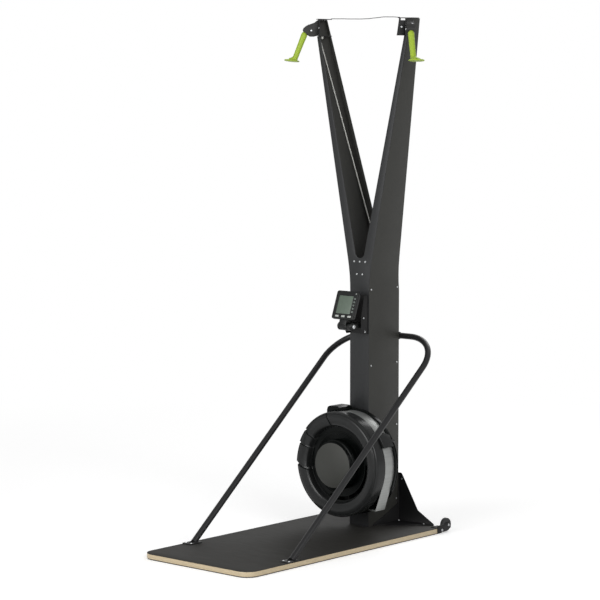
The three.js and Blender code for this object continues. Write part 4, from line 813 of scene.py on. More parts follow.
class ERGOMETER_OT_stage(bpy.types.Operator):
    """Adds the pale floor, the soft lights and the camera"""

    bl_idname = "ergometer.stage"
    bl_label = "Stage"

    # What the lamps face, and each lamp's share of a power, its width and its place, in metres
    lit_point = (0, 0, 1.05)
    lamps = (
        ("key", "key_power", 1.0, 4.4, (-0.6, -8.0, 3.2)),
        ("fill", "fill_power", 1.0, 3.2, (5.4, -2.0, 3.0)),
        ("back", "fill_power", 0.6, 3.0, (-1.5, 4.5, 4.0)),
    )
    # The camera's place and its sensor's width in millimetres, and how far it sees in metres
    camera_place = (6320, -6508, 1957)
    sensor_width = 36
    view_reach = 200
    # Half the floor's width, its drop below the machine, and where it turns into the backdrop, in metres
    floor_half = 40
    floor_drop = 0.0005
    fade_from, fade_to = 1.4, 4.5
    # White that is added to the floor, and the share of each white that reflections get
    floor_lift = 0.42
    floor_shine_share = 0.5
    world_shine_share = 0.35

    def execute(self, context):
        scene = context.scene
        s = scene.ergometer_studio
        scene.view_settings.view_transform = "Standard"
        self.world(scene, s)
        self.floor(scene)
        for name, power, power_share, width, spot in self.lamps:
            lamp = bpy.data.lights.new(name, "AREA")
            lamp.shape = "SQUARE"
            lamp.size = width
            lamp.energy = getattr(s, power) * power_share
            thing = bpy.data.objects.new(f"light_{name}", lamp)
            thing.location = spot
            facing = Vector(self.lit_point) - Vector(spot)
            thing.rotation_euler = facing.to_track_quat("-Z", "Y").to_euler()
            scene.collection.objects.link(thing)
        lens = bpy.data.cameras.new("camera")
        lens.lens = s.lens
        lens.sensor_width = self.sensor_width
        lens.clip_end = self.view_reach
        camera = bpy.data.objects.new("camera", lens)
        camera.location = place(*self.camera_place)
        camera.rotation_euler = (math.pi / 2 - s.pitch, 0, s.azimuth)
        scene.collection.objects.link(camera)
        scene.camera = camera
        return {"FINISHED"}

    def world(self, scene, s):
        """Even white light, and plain white where the camera or a reflection looks past the floor."""
        world = bpy.data.worlds.new("studio")
        world.use_nodes = True
        tree = world.node_tree
        tree.nodes.clear()
        seen = self.seen(tree, self.world_shine_share)
        light = put(tree, "ShaderNodeBackground", {"Color": (1, 1, 1, 1), "Strength": s.ambient})
        white = put(tree, "ShaderNodeBackground", {"Color": (1, 1, 1, 1), "Strength": 1.0})
        mix = put(
            tree, "ShaderNodeMixShader", links={0: seen, 1: light.outputs[0], 2: white.outputs[0]}
        )
        put(tree, "ShaderNodeOutputWorld", links={"Surface": mix.outputs[0]})
        scene.world = world

    def seen(self, tree, shine_share):
        """1 for rays from the camera or through glass, and a share of it for reflections."""
        path = put(tree, "ShaderNodeLightPath")
        shine = put(
            tree,
            "ShaderNodeMath",
            {"operation": "MULTIPLY", 1: shine_share},
            {0: path.outputs["Is Glossy Ray"]},
        )
        direct = put(
            tree,
            "ShaderNodeMath",
            {"operation": "MAXIMUM"},
            {0: path.outputs["Is Camera Ray"], 1: path.outputs["Is Transmission Ray"]},
        )
        either = {0: direct.outputs[0], 1: shine.outputs[0]}
        return put(tree, "ShaderNodeMath", {"operation": "MAXIMUM"}, either).outputs[0]

    def floor(self, scene):
        """A wide pale sheet that keeps the machine's shadow."""
        bm = bmesh.new()
        bmesh.ops.create_grid(bm, x_segments=2, y_segments=2, size=self.floor_half)
        mesh = bpy.data.meshes.new("floor")
        bm.to_mesh(mesh)
        bm.free()
        floor = bpy.data.objects.new("floor", mesh)
        floor.location.z = -self.floor_drop
        scene.collection.objects.link(floor)
        # Matt painted floor: nearly white, lifted to the backdrop's white only where the camera sees it
        material, tree, shader, coords = blank("PaintedFloorMatt", Roughness=0.9, Metallic=0.0, IOR=1.2)
        pale = mottled(tree, coords, linear("#efefef"), spot_mm=900, strength=0.01)
        tree.links.new(pale, shader.inputs["Base Color"])
        seen = self.seen(tree, self.floor_shine_share)
        lift = put(tree, "ShaderNodeMath", {"operation": "MULTIPLY", 1: self.floor_lift}, {0: seen})
        shader.inputs["Emission Color"].default_value = (1, 1, 1, 1)
        tree.links.new(lift.outputs[0], shader.inputs["Emission Strength"])
        # Far from the machine the floor turns into the backdrop
        away = put(tree, "ShaderNodeVectorMath", {"operation": "LENGTH"}, {0: coords})
        far = put(
            tree,
            "ShaderNodeMapRange",
            {"interpolation_type": "SMOOTHSTEP", "From Min": self.fade_from, "From Max": self.fade_to},
            {"Value": away.outputs["Value"]},
        )
        share = put(tree, "ShaderNodeMath", {"operation": "MULTIPLY"}, {0: far.outputs["Result"], 1: seen})
        white = put(tree, "ShaderNodeEmission", {"Color": (1, 1, 1, 1), "Strength": 1.0})
        mix = put(
            tree,
            "ShaderNodeMixShader",
            links={0: share.outputs[0], 1: shader.outputs["BSDF"], 2: white.outputs["Emission"]},
        )
        output = next(n for n in tree.nodes if n.type == "OUTPUT_MATERIAL")
        tree.links.new(mix.outputs[0], output.inputs["Surface"])
        mesh.materials.append(material)


class ERGOMETER_OT_hard_pieces(bpy.types.Operator):
    """Dresses the sheet metal, turned and small moulded pieces with rounded edges and their finishes"""

    bl_idname = "ergometer.hard_pieces"
    bl_label = "Hard Pieces"

    # How far each kind of node's edges are rounded, in millimetres, and those of all others
    edges = {
        "deck_pad": 0.6,
        "deck_board": 1.0,
        "deck_sheet": 0.3,
        "transport_wheel": 1.2,
        "pulley_housing": 1.6,
        "rear_housing": 1.4,
        "screen_band": 0.2,
        "damper_ring": 1.0,
        "monitor_case": 1.8,
        "monitor_screen": 0.3,
        "monitor_yoke": 1.6,
        "menu_button": 0.6,
        "side_button": 0.6,
        "brace_clamp": 0.8,
    }
    other_edges = 0.45

    # Nodes whose finish is finer than their slot's
    own_finish = {
        # The rear housing takes the darker black, which paints the shade behind the front shell
        "rear_housing": "black_gloss",
        "pulley_housing": "cheek_plastic",
        "flywheel": "fan_steel",
        "monitor_case": "case_plastic",
        "monitor_yoke": "case_plastic",
        "side_button": "side_key",
    }

    # Nodes that the other operators model anew
    remodelled = (
        "front_housing",
        "centre_cap",
        "handle_",
        "brace_tube_",
        "tie_cable",
        "drive_cord_",
        "shock_cord_",
    )

    def chosen(self, table, node, otherwise):
        """The value of the first kind in a table that the node's name starts with."""
        return next((value for kind, value in table.items() if node.startswith(kind)), otherwise)

    def execute(self, context):
        for row in frame["record"]["subparts"]:
            node = row["node"]
            if node.startswith(self.remodelled):
                continue
            finish = self.chosen(self.own_finish, node, row["material_slot"])
            eased_copy(context.scene, node, finish, self.chosen(self.edges, node, self.other_edges))
        return {"FINISHED"}


class ERGOMETER_OT_front_shell(bpy.types.Operator):
    """Moulds the front of the fan housing, with its louvres, its recess and its open vent"""

    bl_idname = "ergometer.front_shell"
    bl_label = "Front Shell"

    # Radius, height over the hub's plane, and how much of the louvres' drop the point takes
    collar = ((20, 127, 0), (99.5, 127, 0), (101, 128.5, 0), (101, 149, 0), (101.7, 150, 0))
    collar += ((104.3, 150, 0), (105, 149, 0), (105, 123.5, 0), (106.5, 122, 0))
    vent_row = ("vent", 122, 0)
    recess = ((153, 122, 0), (156.4, 122, 0), (157.8, 123.4, 0.1), (160.6, 134.5, 1), (163.9, 142.6, 1))
    crest = ((165, 145.2, 1), (166.6, 146.5, 1), (175, 148.5, 1), (185, 150.6, 1), (195, 151.9, 1))
    crest += ((203, 151.5, 1), (208, 150.3, 1))
    # The same, with the radius counted inward from the shell's outside
    groove = ((11.4, 149.2, 1), (10.8, 148.7, 1), (9.5, 146, 1), (8.7, 146, 1), (7.5, 148, 1), (6.6, 148, 1))
    rim = ((3.8, 146.2, 1), (1.7, 143, 1), (0.5, 139.6, 1), (0, 136, 1))
    skirt = ((0, 104.8, 0), (0.8, 104, 0), (2.4, 104, 0), (3, 103.4, 0), (3, 91.2, 0), (3.6, 90.4, 0))

    # Where each louvre step crosses the recess and the rim, in degrees: it slants between them
    recess_steps = (98.6, 140.9, 157.4, 190.0)
    rim_steps = (104.0, 141.4, 159.1, 181.0)
    slant_from, slant_to = 50.0, 250.0
    slant_radius = 165.0
    # Drop of each blade where it starts, and where it ends over the next slot
    blades = ((3.0, -1.0), (3.0, -2.0), (4.0, -4.5))
    slot_depth = 10.0
    slot_angle = 4.0
    slot_far_share = 0.8
    # Where the even columns start, in degrees, before the vent's first end
    first_column = -120.0
    # Degrees beside a slot that even columns keep clear of, and where its own columns stand
    clear_before, clear_after = 0.8, 0.6
    step_half = 0.12
    slot_columns = (1.1, slot_angle - 0.5, slot_angle + 0.1)

    # The open vent's ends, in degrees, and its inner edge's least radius and rise towards its ends
    vent = (-112.0, 4.0)
    vent_clear = 0.7
    vent_radius = 109.0
    vent_rise = 30.0
    # Radius within which the shell takes the darker black, which paints the recess's shade
    shaded_recess_radius = 155.0

    # The air intake's ring: the heights of its foot and top, its two radii and its eased outside
    intake_foot = 122.2
    intake_top = 123.4
    intake_radii = (106.0, 137.0)
    intake_ease = 0.6
    # Its ribs: their radii, half their widths at foot and top, and the height of their tops
    ribs = (111.5, 117.5, 123.5, 129.5)
    rib_foot_half, rib_top_half = 1.4, 1.0
    rib_top = 126.6

    def rim_angle(self, angle):
        """The angle at the rim for an angle at the recess: the steps slant between them."""
        ends = ((self.slant_from, self.slant_from), (self.slant_to, self.slant_to))
        knots = [ends[0], *zip(self.recess_steps, self.rim_steps), ends[1]]
        for (a0, b0), (a1, b1) in zip(knots, knots[1:]):
            if a0 <= angle <= a1:
                return b0 + (b1 - b0) * (angle - a0) / (a1 - a0)
        return angle

    def drop(self, angle):
        """How far the face lies under its full height: blades that rise, each ending over a slot."""
        for a in self.recess_steps:
            if a <= angle < a + self.slot_angle:
                return self.slot_depth * (1 if angle < a + self.slot_angle / 2 else self.slot_far_share)
        for low, high, (first, last) in zip(self.recess_steps, self.recess_steps[1:], self.blades):
            if low <= angle < high:
                return first + (last - first) * (angle - low) / (high - low)
        return 0.0

    def columns(self, count):
        """The angles of the columns: evenly spaced but for those of the slots and the vent's ends."""
        angles = [self.first_column + 360 * i / count for i in range(count)]
        for a in self.recess_steps:
            last = a + self.slot_angle + self.clear_after
            angles = [b for b in angles if not a - self.clear_before < b < last]
            angles += [a - self.step_half, a + self.step_half, *(a + c for c in self.slot_columns)]
        for a in self.vent:
            angles = [b for b in angles if abs(b - a) > self.vent_clear] + [a]
        return sorted(angles)

    def vent_edge(self, angle):
        """Radius of the vent's inner edge, which curves outward to its ends."""
        low, high = self.vent
        reach = min(1.0, abs(2 * (angle - low) / (high - low) - 1))
        return self.vent_radius + self.vent_rise * reach * reach

    def execute(self, context):
        scene = context.scene
        self.shell(scene)
        self.intake(scene)
        return {"FINISHED"}

    def shell(self, scene):
        """The moulding itself, from the collar round the cap to the rim and its skirt."""
        sizes = scene.ergometer_sizes
        outside = sizes.shell_radius / MM
        angles = self.columns(sizes.columns)
        rows = [*self.collar, self.vent_row, *self.recess, *self.crest]
        rows += [(outside - inset, z, share) for inset, z, share in (*self.groove, *self.rim, *self.skirt)]
        bm = bmesh.new()
        grid = []
        for radius, height, share in rows:
            ring = []
            for angle in angles:
                r = self.vent_edge(angle) if radius == "vent" else radius
                slant = min(1.0, max(0.0, (r - self.slant_radius) / (outside - self.slant_radius)))
                turn = math.radians(angle * (1 - slant) + self.rim_angle(angle) * slant)
                z = height - share * self.drop(angle)
                ring.append(bm.verts.new((r * math.cos(turn), r * math.sin(turn), z)))
            grid.append(ring)
        open_row = rows.index(self.vent_row)
        # The ends are taken a hair early, so that rounding can't move a column past them
        hair = 0.01
        low, high = (a - hair for a in self.vent)
        for k, (a, b) in enumerate(zip(grid, grid[1:])):
            for i in range(len(angles)):
                j = (i + 1) % len(angles)
                if k != open_row or not low <= angles[i] < high:
                    bm.faces.new((a[i], a[j], b[j], b[i]))
        bmesh.ops.recalc_face_normals(bm, faces=bm.faces)
        if sum(f.normal.z * f.calc_area() for f in bm.faces) < 0:
            bmesh.ops.reverse_faces(bm, faces=bm.faces)
        bmesh.ops.solidify(bm, geom=bm.faces, thickness=sizes.shell_wall / MM)
        bmesh.ops.recalc_face_normals(bm, faces=bm.faces)
        shell = finish_piece(
            scene, "front_shell", bm, "housing_plastic", "frame", ("front_housing",), matrix=hub_frame()
        )
        # The recess's floor and the collar round the cap are blacker than the ring: painted shade in the
        # recess
        shell.data.materials.append(finishes(scene)["black_gloss"])
        to_hub = hub_frame().inverted()
        for face in shell.data.polygons:
            face.material_index = int((to_hub @ face.center).xy.length < self.shaded_recess_radius)

    def intake(self, scene):
        """Round ribs of the air intake, on a ring that rests on the recess's floor."""
        inner, outer = self.intake_radii
        outline = [(inner, self.intake_foot), (inner, self.intake_top)]
        for r in self.ribs:
            outline += [(r - self.rib_foot_half, self.intake_top), (r - self.rib_top_half, self.rib_top)]
            outline += [(r + self.rib_top_half, self.rib_top), (r + self.rib_foot_half, self.intake_top)]
        outline += [(outer, self.intake_top), (outer + self.intake_ease, self.intake_top - self.intake_ease)]
        outline += [(outer + self.intake_ease, self.intake_foot)]
        bm = bmesh.new()
        revolve(bm, outline, scene.ergometer_sizes.columns, closed=True)
        finish_piece(scene, "intake_ring", bm, "black_gloss", "frame", matrix=hub_frame())


class ERGOMETER_OT_centre_cap(bpy.types.Operator):
    """Adds the bare round cap over the fan's hub, with its stepped skirt and the matt film on its face"""

    bl_idname = "ergometer.centre_cap"
    bl_label = "Centre Cap"

    # Radius and height over the hub's plane
    edge = ((0, 173.4), (94.4, 173.4), (94.4, 174), (96.6, 174), (97.4, 172.4), (96.6, 171.8), (97.6, 170.8))
    rings = ((98.6, 167.4), (97.8, 166.8), (98.8, 165.8), (99.4, 162.4), (100.6, 162), (100.6, 160.6))
    seat = ((102.6, 160), (105.5, 157), (105.5, 150.4), (101, 150.4))
    underside = ((96, 154), (93, 170.6), (0, 170.6))
    corner = 0.9
    film = ((0, 173.1), (0, 173.9), (93.4, 173.9), (94.1, 173.6), (94.1, 173.1))

    def execute(self, context):
        scene = context.scene
        columns = scene.ergometer_sizes.columns
        bm = bmesh.new()
        outline = [*self.edge, *self.rings, *self.seat, *self.underside]
        revolve(bm, soften(outline, self.corner, 2), columns)
        finish_piece(
            scene, "centre_cap_dressed", bm, "black_gloss", "frame", ("centre_cap",), matrix=hub_frame()
        )
        bm = bmesh.new()
        revolve(bm, self.film, columns)
        finish_piece(scene, "cap_face", bm, "cap_face", "frame", matrix=hub_frame())
        return {"FINISHED"}


class ERGOMETER_OT_handles(bpy.types.Operator):
    """Moulds the two grips, each with its domed top and its round foot turned outward"""

    bl_idname = "ergometer.handles"
    bl_label = "Handles"

    # Radius and height of the domed top
    dome = ((0, 8), (2.8, 7.8), (5.6, 6.6), (8.4, 4.2), (10.8, 1.2), (12.4, -2.4))
    # Distance from the grip's top as a share of its length, and radius there
    swell = ((0.05, 13.2), (0.12, 13.1), (0.3, 12.5), (0.5, 12.1), (0.7, 11.9), (0.86, 12.1))
    # Radius at the foot, and heights over the foot's underside where the shaft widens and ends
    neck_radius = 12.6
    neck_top = 12.0
    flare_foot = 6.5
    # How much thinner the grip is from front to back at its foot, and the right one's outward lean
    flat_share = 0.94
    lean = {"right": math.radians(3), "left": 0.0}
    # The flare: its slices' count and thickness, how far it runs forward, outward and up, and its radius
    flare_steps = 8
    flare_slice = 3.2
    flare_forward, flare_outward, flare_up = 6.0, 8.0, 18.0
    flare_radius = 11.6
    flare_growth = 8.5
    flare_taper_share = 0.97
    # The foot: how far each point lies within the palm's radius, its height, and the foot's place and tilt
    foot_outline = ((6, 0.1), (2.2, -1.0), (0.3, -2.8), (0.3, -4.4), (2.2, -6.3), (6, -7))
    foot_thickness = 7.0
    foot_place = (9.5, 11.3, 7.0)
    foot_tilt = (math.radians(15.5), math.radians(-4))
    # Size of the cells that the fused form is built from
    voxel = 1.15

    def execute(self, context):
        scene = context.scene
        sizes = scene.ergometer_sizes
        grip = sizes.grip_length / MM
        bm = bmesh.new()
        # The shaft, round at its top and flatter towards its foot
        shaft = [*self.dome, *((r, -share * grip) for share, r in self.swell)]
        shaft += [(self.neck_radius, self.neck_top - grip), (self.neck_radius, self.flare_foot - grip)]
        shaft += [(0, self.flare_foot - grip)]
        revolve(bm, shaft, 48, shape=lambda p: self.flattened(p, grip))
        self.flare(bm, grip)
        self.foot(bm, grip, sizes.palm_radius / MM)
        mesh = self.fused(scene, bm)
        leave, pull = cord_exit()
        top = leave + pull * (sizes.grip_start / MM)
        hang = pulley_frame() @ Matrix.Translation(top) @ Matrix.Rotation(-PULL_LEAN, 4, "Y")
        for name, side in SIDES:
            copy = bmesh.new()
            copy.from_mesh(mesh)
            copy.transform(Matrix.Rotation(self.lean[name], 4, "X"))
            finish_piece(
                scene,
                f"grip_{name}",
                copy,
                "grip_plastic",
                f"handle_{name}",
                (f"handle_{name}",),
                matrix=mirror_x(side) @ hang,
                sharp=math.pi,
            )
        bpy.data.meshes.remove(mesh)
        return {"FINISHED"}

    def flare(self, bm, grip):
        """Slices that run outward from the shaft into the foot."""
        flat = Matrix.Diagonal((self.flat_share, 1, 1, 1))
        for k in range(self.flare_steps + 1):
            t = k / self.flare_steps
            ease = t * t
            height = self.flare_foot - grip + self.flare_up * (1 - t)
            centre = Vector((self.flare_forward * ease, self.flare_outward * ease, height))
            radius = self.flare_radius + self.flare_growth * ease
            part = bmesh.new()
            outline = [(0, 0), (radius, 0), (radius * self.flare_taper_share, self.flare_slice)]
            revolve(part, [*outline, (0, self.flare_slice)], 40)
            part.transform(Matrix.Translation(centre) @ flat)
            self.merge(bm, part)

    def foot(self, bm, grip, palm):
        """The round foot that the hand rests on."""
        part = bmesh.new()
        dish = [(0, 0), *((palm - inset, z) for inset, z in self.foot_outline), (0, -self.foot_thickness)]
        revolve(part, dish, 64)
        about_y, about_x = self.foot_tilt
        tilt = Matrix.Rotation(about_y, 4, "Y") @ Matrix.Rotation(about_x, 4, "X")
        x, y, z = self.foot_place
        part.transform(Matrix.Translation((x, y, z - grip)) @ tilt)
        self.merge(bm, part)

    def flattened(self, point, grip):
        """A point of the grip, drawn in from front to back the nearer it is to the foot."""
        down = min(1.0, max(0.0, -point.z / grip))
        return Vector((point.x * (1 - (1 - self.flat_share) * down), point.y, point.z))

    def merge(self, target, source):
        """Moves one form into another, without joining their skins."""
        mesh = bpy.data.meshes.new("part")
        source.to_mesh(mesh)
        source.free()
        target.from_mesh(mesh)
        bpy.data.meshes.remove(mesh)

    def fused(self, scene, bm):
        """Fuses the overlapping forms into one moulded skin with soft inner corners."""
        mesh = bpy.data.meshes.new("grip_form")
        bm.to_mesh(mesh)
        bm.free()
        form = bpy.data.objects.new("grip_form", mesh)
        scene.collection.objects.link(form)
        remesh = form.modifiers.new("remesh", "REMESH")
        remesh.mode = "VOXEL"
        remesh.voxel_size = self.voxel
        relax = form.modifiers.new("smooth", "SMOOTH")
        relax.factor = 0.5
        relax.iterations = 5
        fused = bpy.data.meshes.new_from_object(form.evaluated_get(bpy.context.evaluated_depsgraph_get()))
        bpy.data.objects.remove(form)
        return fused


class ERGOMETER_OT_brace_tubes(bpy.types.Operator):
    """Bends the two brace tubes and adds their foot plates and weld beads"""

    bl_idname = "ergometer.brace_tubes"
    bl_label = "Brace Tubes"

    # The tube: its gap at the middle, its front side, its corner, its foot, and how far that sinks in
    middle_gap = 0.3
    front = 1204.3
    corner_across, corner_height = 271.0, 818.0
    foot = (267, 277, 28.3)
    sink = 1.0
    # Two corners of the foot plate, and its eased edge
    plate = ((244, 233, 24.3), (290, 301, 28.3))
    plate_edge = 1.2
    # The weld bead's radius, how far it stands off the tube, and its height on the plate
    bead_radius = 1.9
    bead_out = 0.6
    bead_height = 1.2

    def execute(self, context):
        scene = context.scene
        sizes = scene.ergometer_sizes
        radius = sizes.tube_diameter / MM / 2
        y = self.front + radius
        foot = Vector(self.foot)
        corner = Vector((self.corner_across, y, self.corner_height))
        away = (corner - foot).normalized()
        corners = [Vector((self.middle_gap, y, self.corner_height)), corner, foot - away * self.sink]
        route = smooth_route(corners, sizes.bend_radius / MM, 28)
        for name, side in SIDES:
            bm = bmesh.new()
            sweep(bm, route, radius, 32)
            sweep(bm, self.bead(foot, away, radius + self.bead_out), self.bead_radius, 8, capped=False)
            box_into(bm, *self.plate, self.plate_edge)
            matrix = mirror_x(side) @ deck_frame()
            finish_piece(
                scene, f"brace_{name}", bm, "tube_paint", "frame", (f"brace_tube_{name}",), matrix=matrix
            )
        return {"FINISHED"}

    def bead(self, foot, away, radius):
        """The weld's middle line round the tube's foot, longer along the deck as the tube leans."""
        turns = (2 * math.pi * k / 40 for k in range(41))
        return [
            foot + Vector((radius * math.cos(a), radius * math.sin(a) / away.z, self.bead_height))
            for a in turns
        ]


class ERGOMETER_OT_cords(bpy.types.Operator):
    """Runs the drive cords, the held cords, the elastic return cords and the cable between the arms"""

    bl_idname = "ergometer.cords"
    bl_label = "Cords"

    # How far over the top pulley's middle the drive cord leaves it behind, as a share of its radius
    rear_share = 0.262
    # Its way through the arm's web, past the idler and on to its drum: each side's has its own place
    web_point = (238.2, 1021.3, 2080.5)
    web_bend = 9.0
    idler = (27, 1170, 1100)
    idler_pitch = 15.0
    drum_pitch = 30.0
    drum_front = {1: 1139.0, -1: 1087.0}
    # The elastic cord: up from its spool, over the return pulley and down to the column's foot
    elastic_radius = 3.0
    return_pitch = 11.0
    return_across, return_height = 30.0, 900.0
    return_front = {1: 1150.5, -1: 1071.5}
    anchor_height = 29.0
    # The held cord: its overlap with the drive cord, where it gives, and its end inside the grip
    held_back = 1.0
    held_first, held_last = 0.5, 12.5
    held_steps = 12
    held_end = 18.0
    # The cable: half its span, how far back its two ends are, its height, and how far it sags
    tie_half = 212.7
    tie_left, tie_right = 1066.0, 1002.0
    tie_height = 2157.2
    tie_sag = 3.5
    tie_steps = 32
    # Share of the cable's run, and of its sag there, which is negative where the cable rises
    sag_shares = ((0, 0), (0.15, 0.25), (0.3, 0.7), (0.45, 1), (0.55, 0.85), (0.65, 0.1))
    sag_shares += ((0.78, -0.85), (0.9, -0.6), (1, 0))

    def execute(self, context):
        scene = context.scene
        sizes = scene.ergometer_sizes
        radius = sizes.cord_diameter / MM / 2
        for name, side in SIDES:
            route = self.drive_route(side)
            self.fixed(scene, f"cord_{name}", f"drive_cord_{name}", "cord", route, radius)
            route = self.return_route(side)
            self.fixed(
                scene, f"elastic_{name}", f"shock_cord_{name}", "shock_cord", route, self.elastic_radius
            )
            self.held(scene, name, side, radius)
        self.tie(scene, sizes)
        return {"FINISHED"}

    def fixed(self, scene, piece, node, slot, route, radius):
        """A cord that the machine holds all along its route."""
        bm = bmesh.new()
        sweep(bm, route, radius, 16)
        finish_piece(scene, piece, bm, slot, "frame", (node,), matrix=deck_frame())

    def held(self, scene, name, side, radius):
        """The cord from the top pulley to the grip, which pays out as the grip is pulled."""
        leave, pull = cord_exit()
        step = (self.held_last - self.held_first) / self.held_steps
        gives = (self.held_first + step * k for k in range(self.held_steps + 1))
        matrix = mirror_x(side) @ pulley_frame()
        bm = bmesh.new()
        sweep(bm, [leave + pull * s for s in (-self.held_back, *gives, self.held_end)], radius, 16)
        ends = [matrix @ (leave + pull * s) for s in (self.held_first, self.held_last)]
        bodies = ("frame", f"handle_{name}", *ends)
        finish_piece(
            scene, f"held_cord_{name}", bm, "cord", bodies, (f"handle_cord_{name}",), matrix=matrix
        )

    def drive_route(self, side):
        """Over the top pulley, down the arm, past the idler and on to the drum."""
        turn = pulley_frame()
        over = []
        start, end = PULL_LEAN, math.pi - math.asin(self.rear_share)
        for k in range(25):
            a = start + (end - start) * k / 24
            p = turn @ (Vector((math.cos(a), 0, math.sin(a))) * PULLEY_PITCH) / MM
            over.append(Vector((p.x, p.y - DECK_FRONT, p.z)))
        # Just under the housing it turns inboard of the arm's web
        web = Vector(self.web_point)
        x, y, z = self.idler
        onward = Vector((x + self.idler_pitch, y, z))
        before, after = (over[-1] - web).normalized(), (onward - web).normalized()
        for t in (0, 0.25, 0.5, 0.75, 1):
            over.append(web + (before * (1 - t) ** 2 + after * t * t) * self.web_bend)
        inner = x - self.idler_pitch
        arrive = math.atan2(web.x - inner, web.z - z)
        leave = math.atan2(inner + side * self.drum_pitch, z - HUB_HEIGHT)
        past = []
        for k in range(9):
            a = arrive + (leave - arrive) * k / 8
            past.append(Vector((x - self.idler_pitch * math.cos(a), y, z + self.idler_pitch * math.sin(a))))
        route = [Vector((side * p.x, p.y, p.z)) for p in over + past]
        return [*route, Vector((-self.drum_pitch, self.drum_front[side], HUB_HEIGHT))]

    def return_route(self, side):
        """From the spool up over the return pulley and down to the column's foot."""
        x, y, z, r = self.return_across, self.return_front[side], self.return_height, self.return_pitch
        turns = (math.pi * (1 - k / 16) for k in range(17))
        over = [Vector((x + r * math.cos(a), y, z + r * math.sin(a))) for a in turns]
        return [Vector((x - r, y, HUB_HEIGHT)), *over, Vector((x + r, y, self.anchor_height))]

    def tie(self, scene, sizes):
        """The thin cable between the arms' tops."""
        knots = []
        for k in range(self.tie_steps + 1):
            s = k / self.tie_steps
            y = self.tie_right + (self.tie_left - self.tie_right) * s
            z = self.tie_height - self.tie_sag * self.sag(1 - s)
            knots.append(place(self.tie_half * (1 - 2 * s), y, z))
        curve = bpy.data.curves.new("tie", "CURVE")
        curve.dimensions = "3D"
        curve.bevel_depth = sizes.tie_diameter / 2
        curve.bevel_resolution = 4
        curve.use_fill_caps = True
        line = curve.splines.new("POLY")
        line.points.add(len(knots) - 1)
        for point, knot in zip(line.points, knots):
            point.co = (*knot, 1)
        curve.materials.append(finishes(scene)["shock_cord"])
        cable = bpy.data.objects.new("tie_line", curve)
        scene.collection.objects.link(cable)
        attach(cable, "frame")
        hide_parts("tie_cable")

    def sag(self, at):
        """Smooth share of the cable's sag at a share of its run."""
        for (a, u), (b, v) in zip(self.sag_shares, self.sag_shares[1:]):
            if a <= at <= b:
                t = (at - a) / (b - a)
                return u + (v - u) * t * t * (3 - 2 * t)
        return 0.0


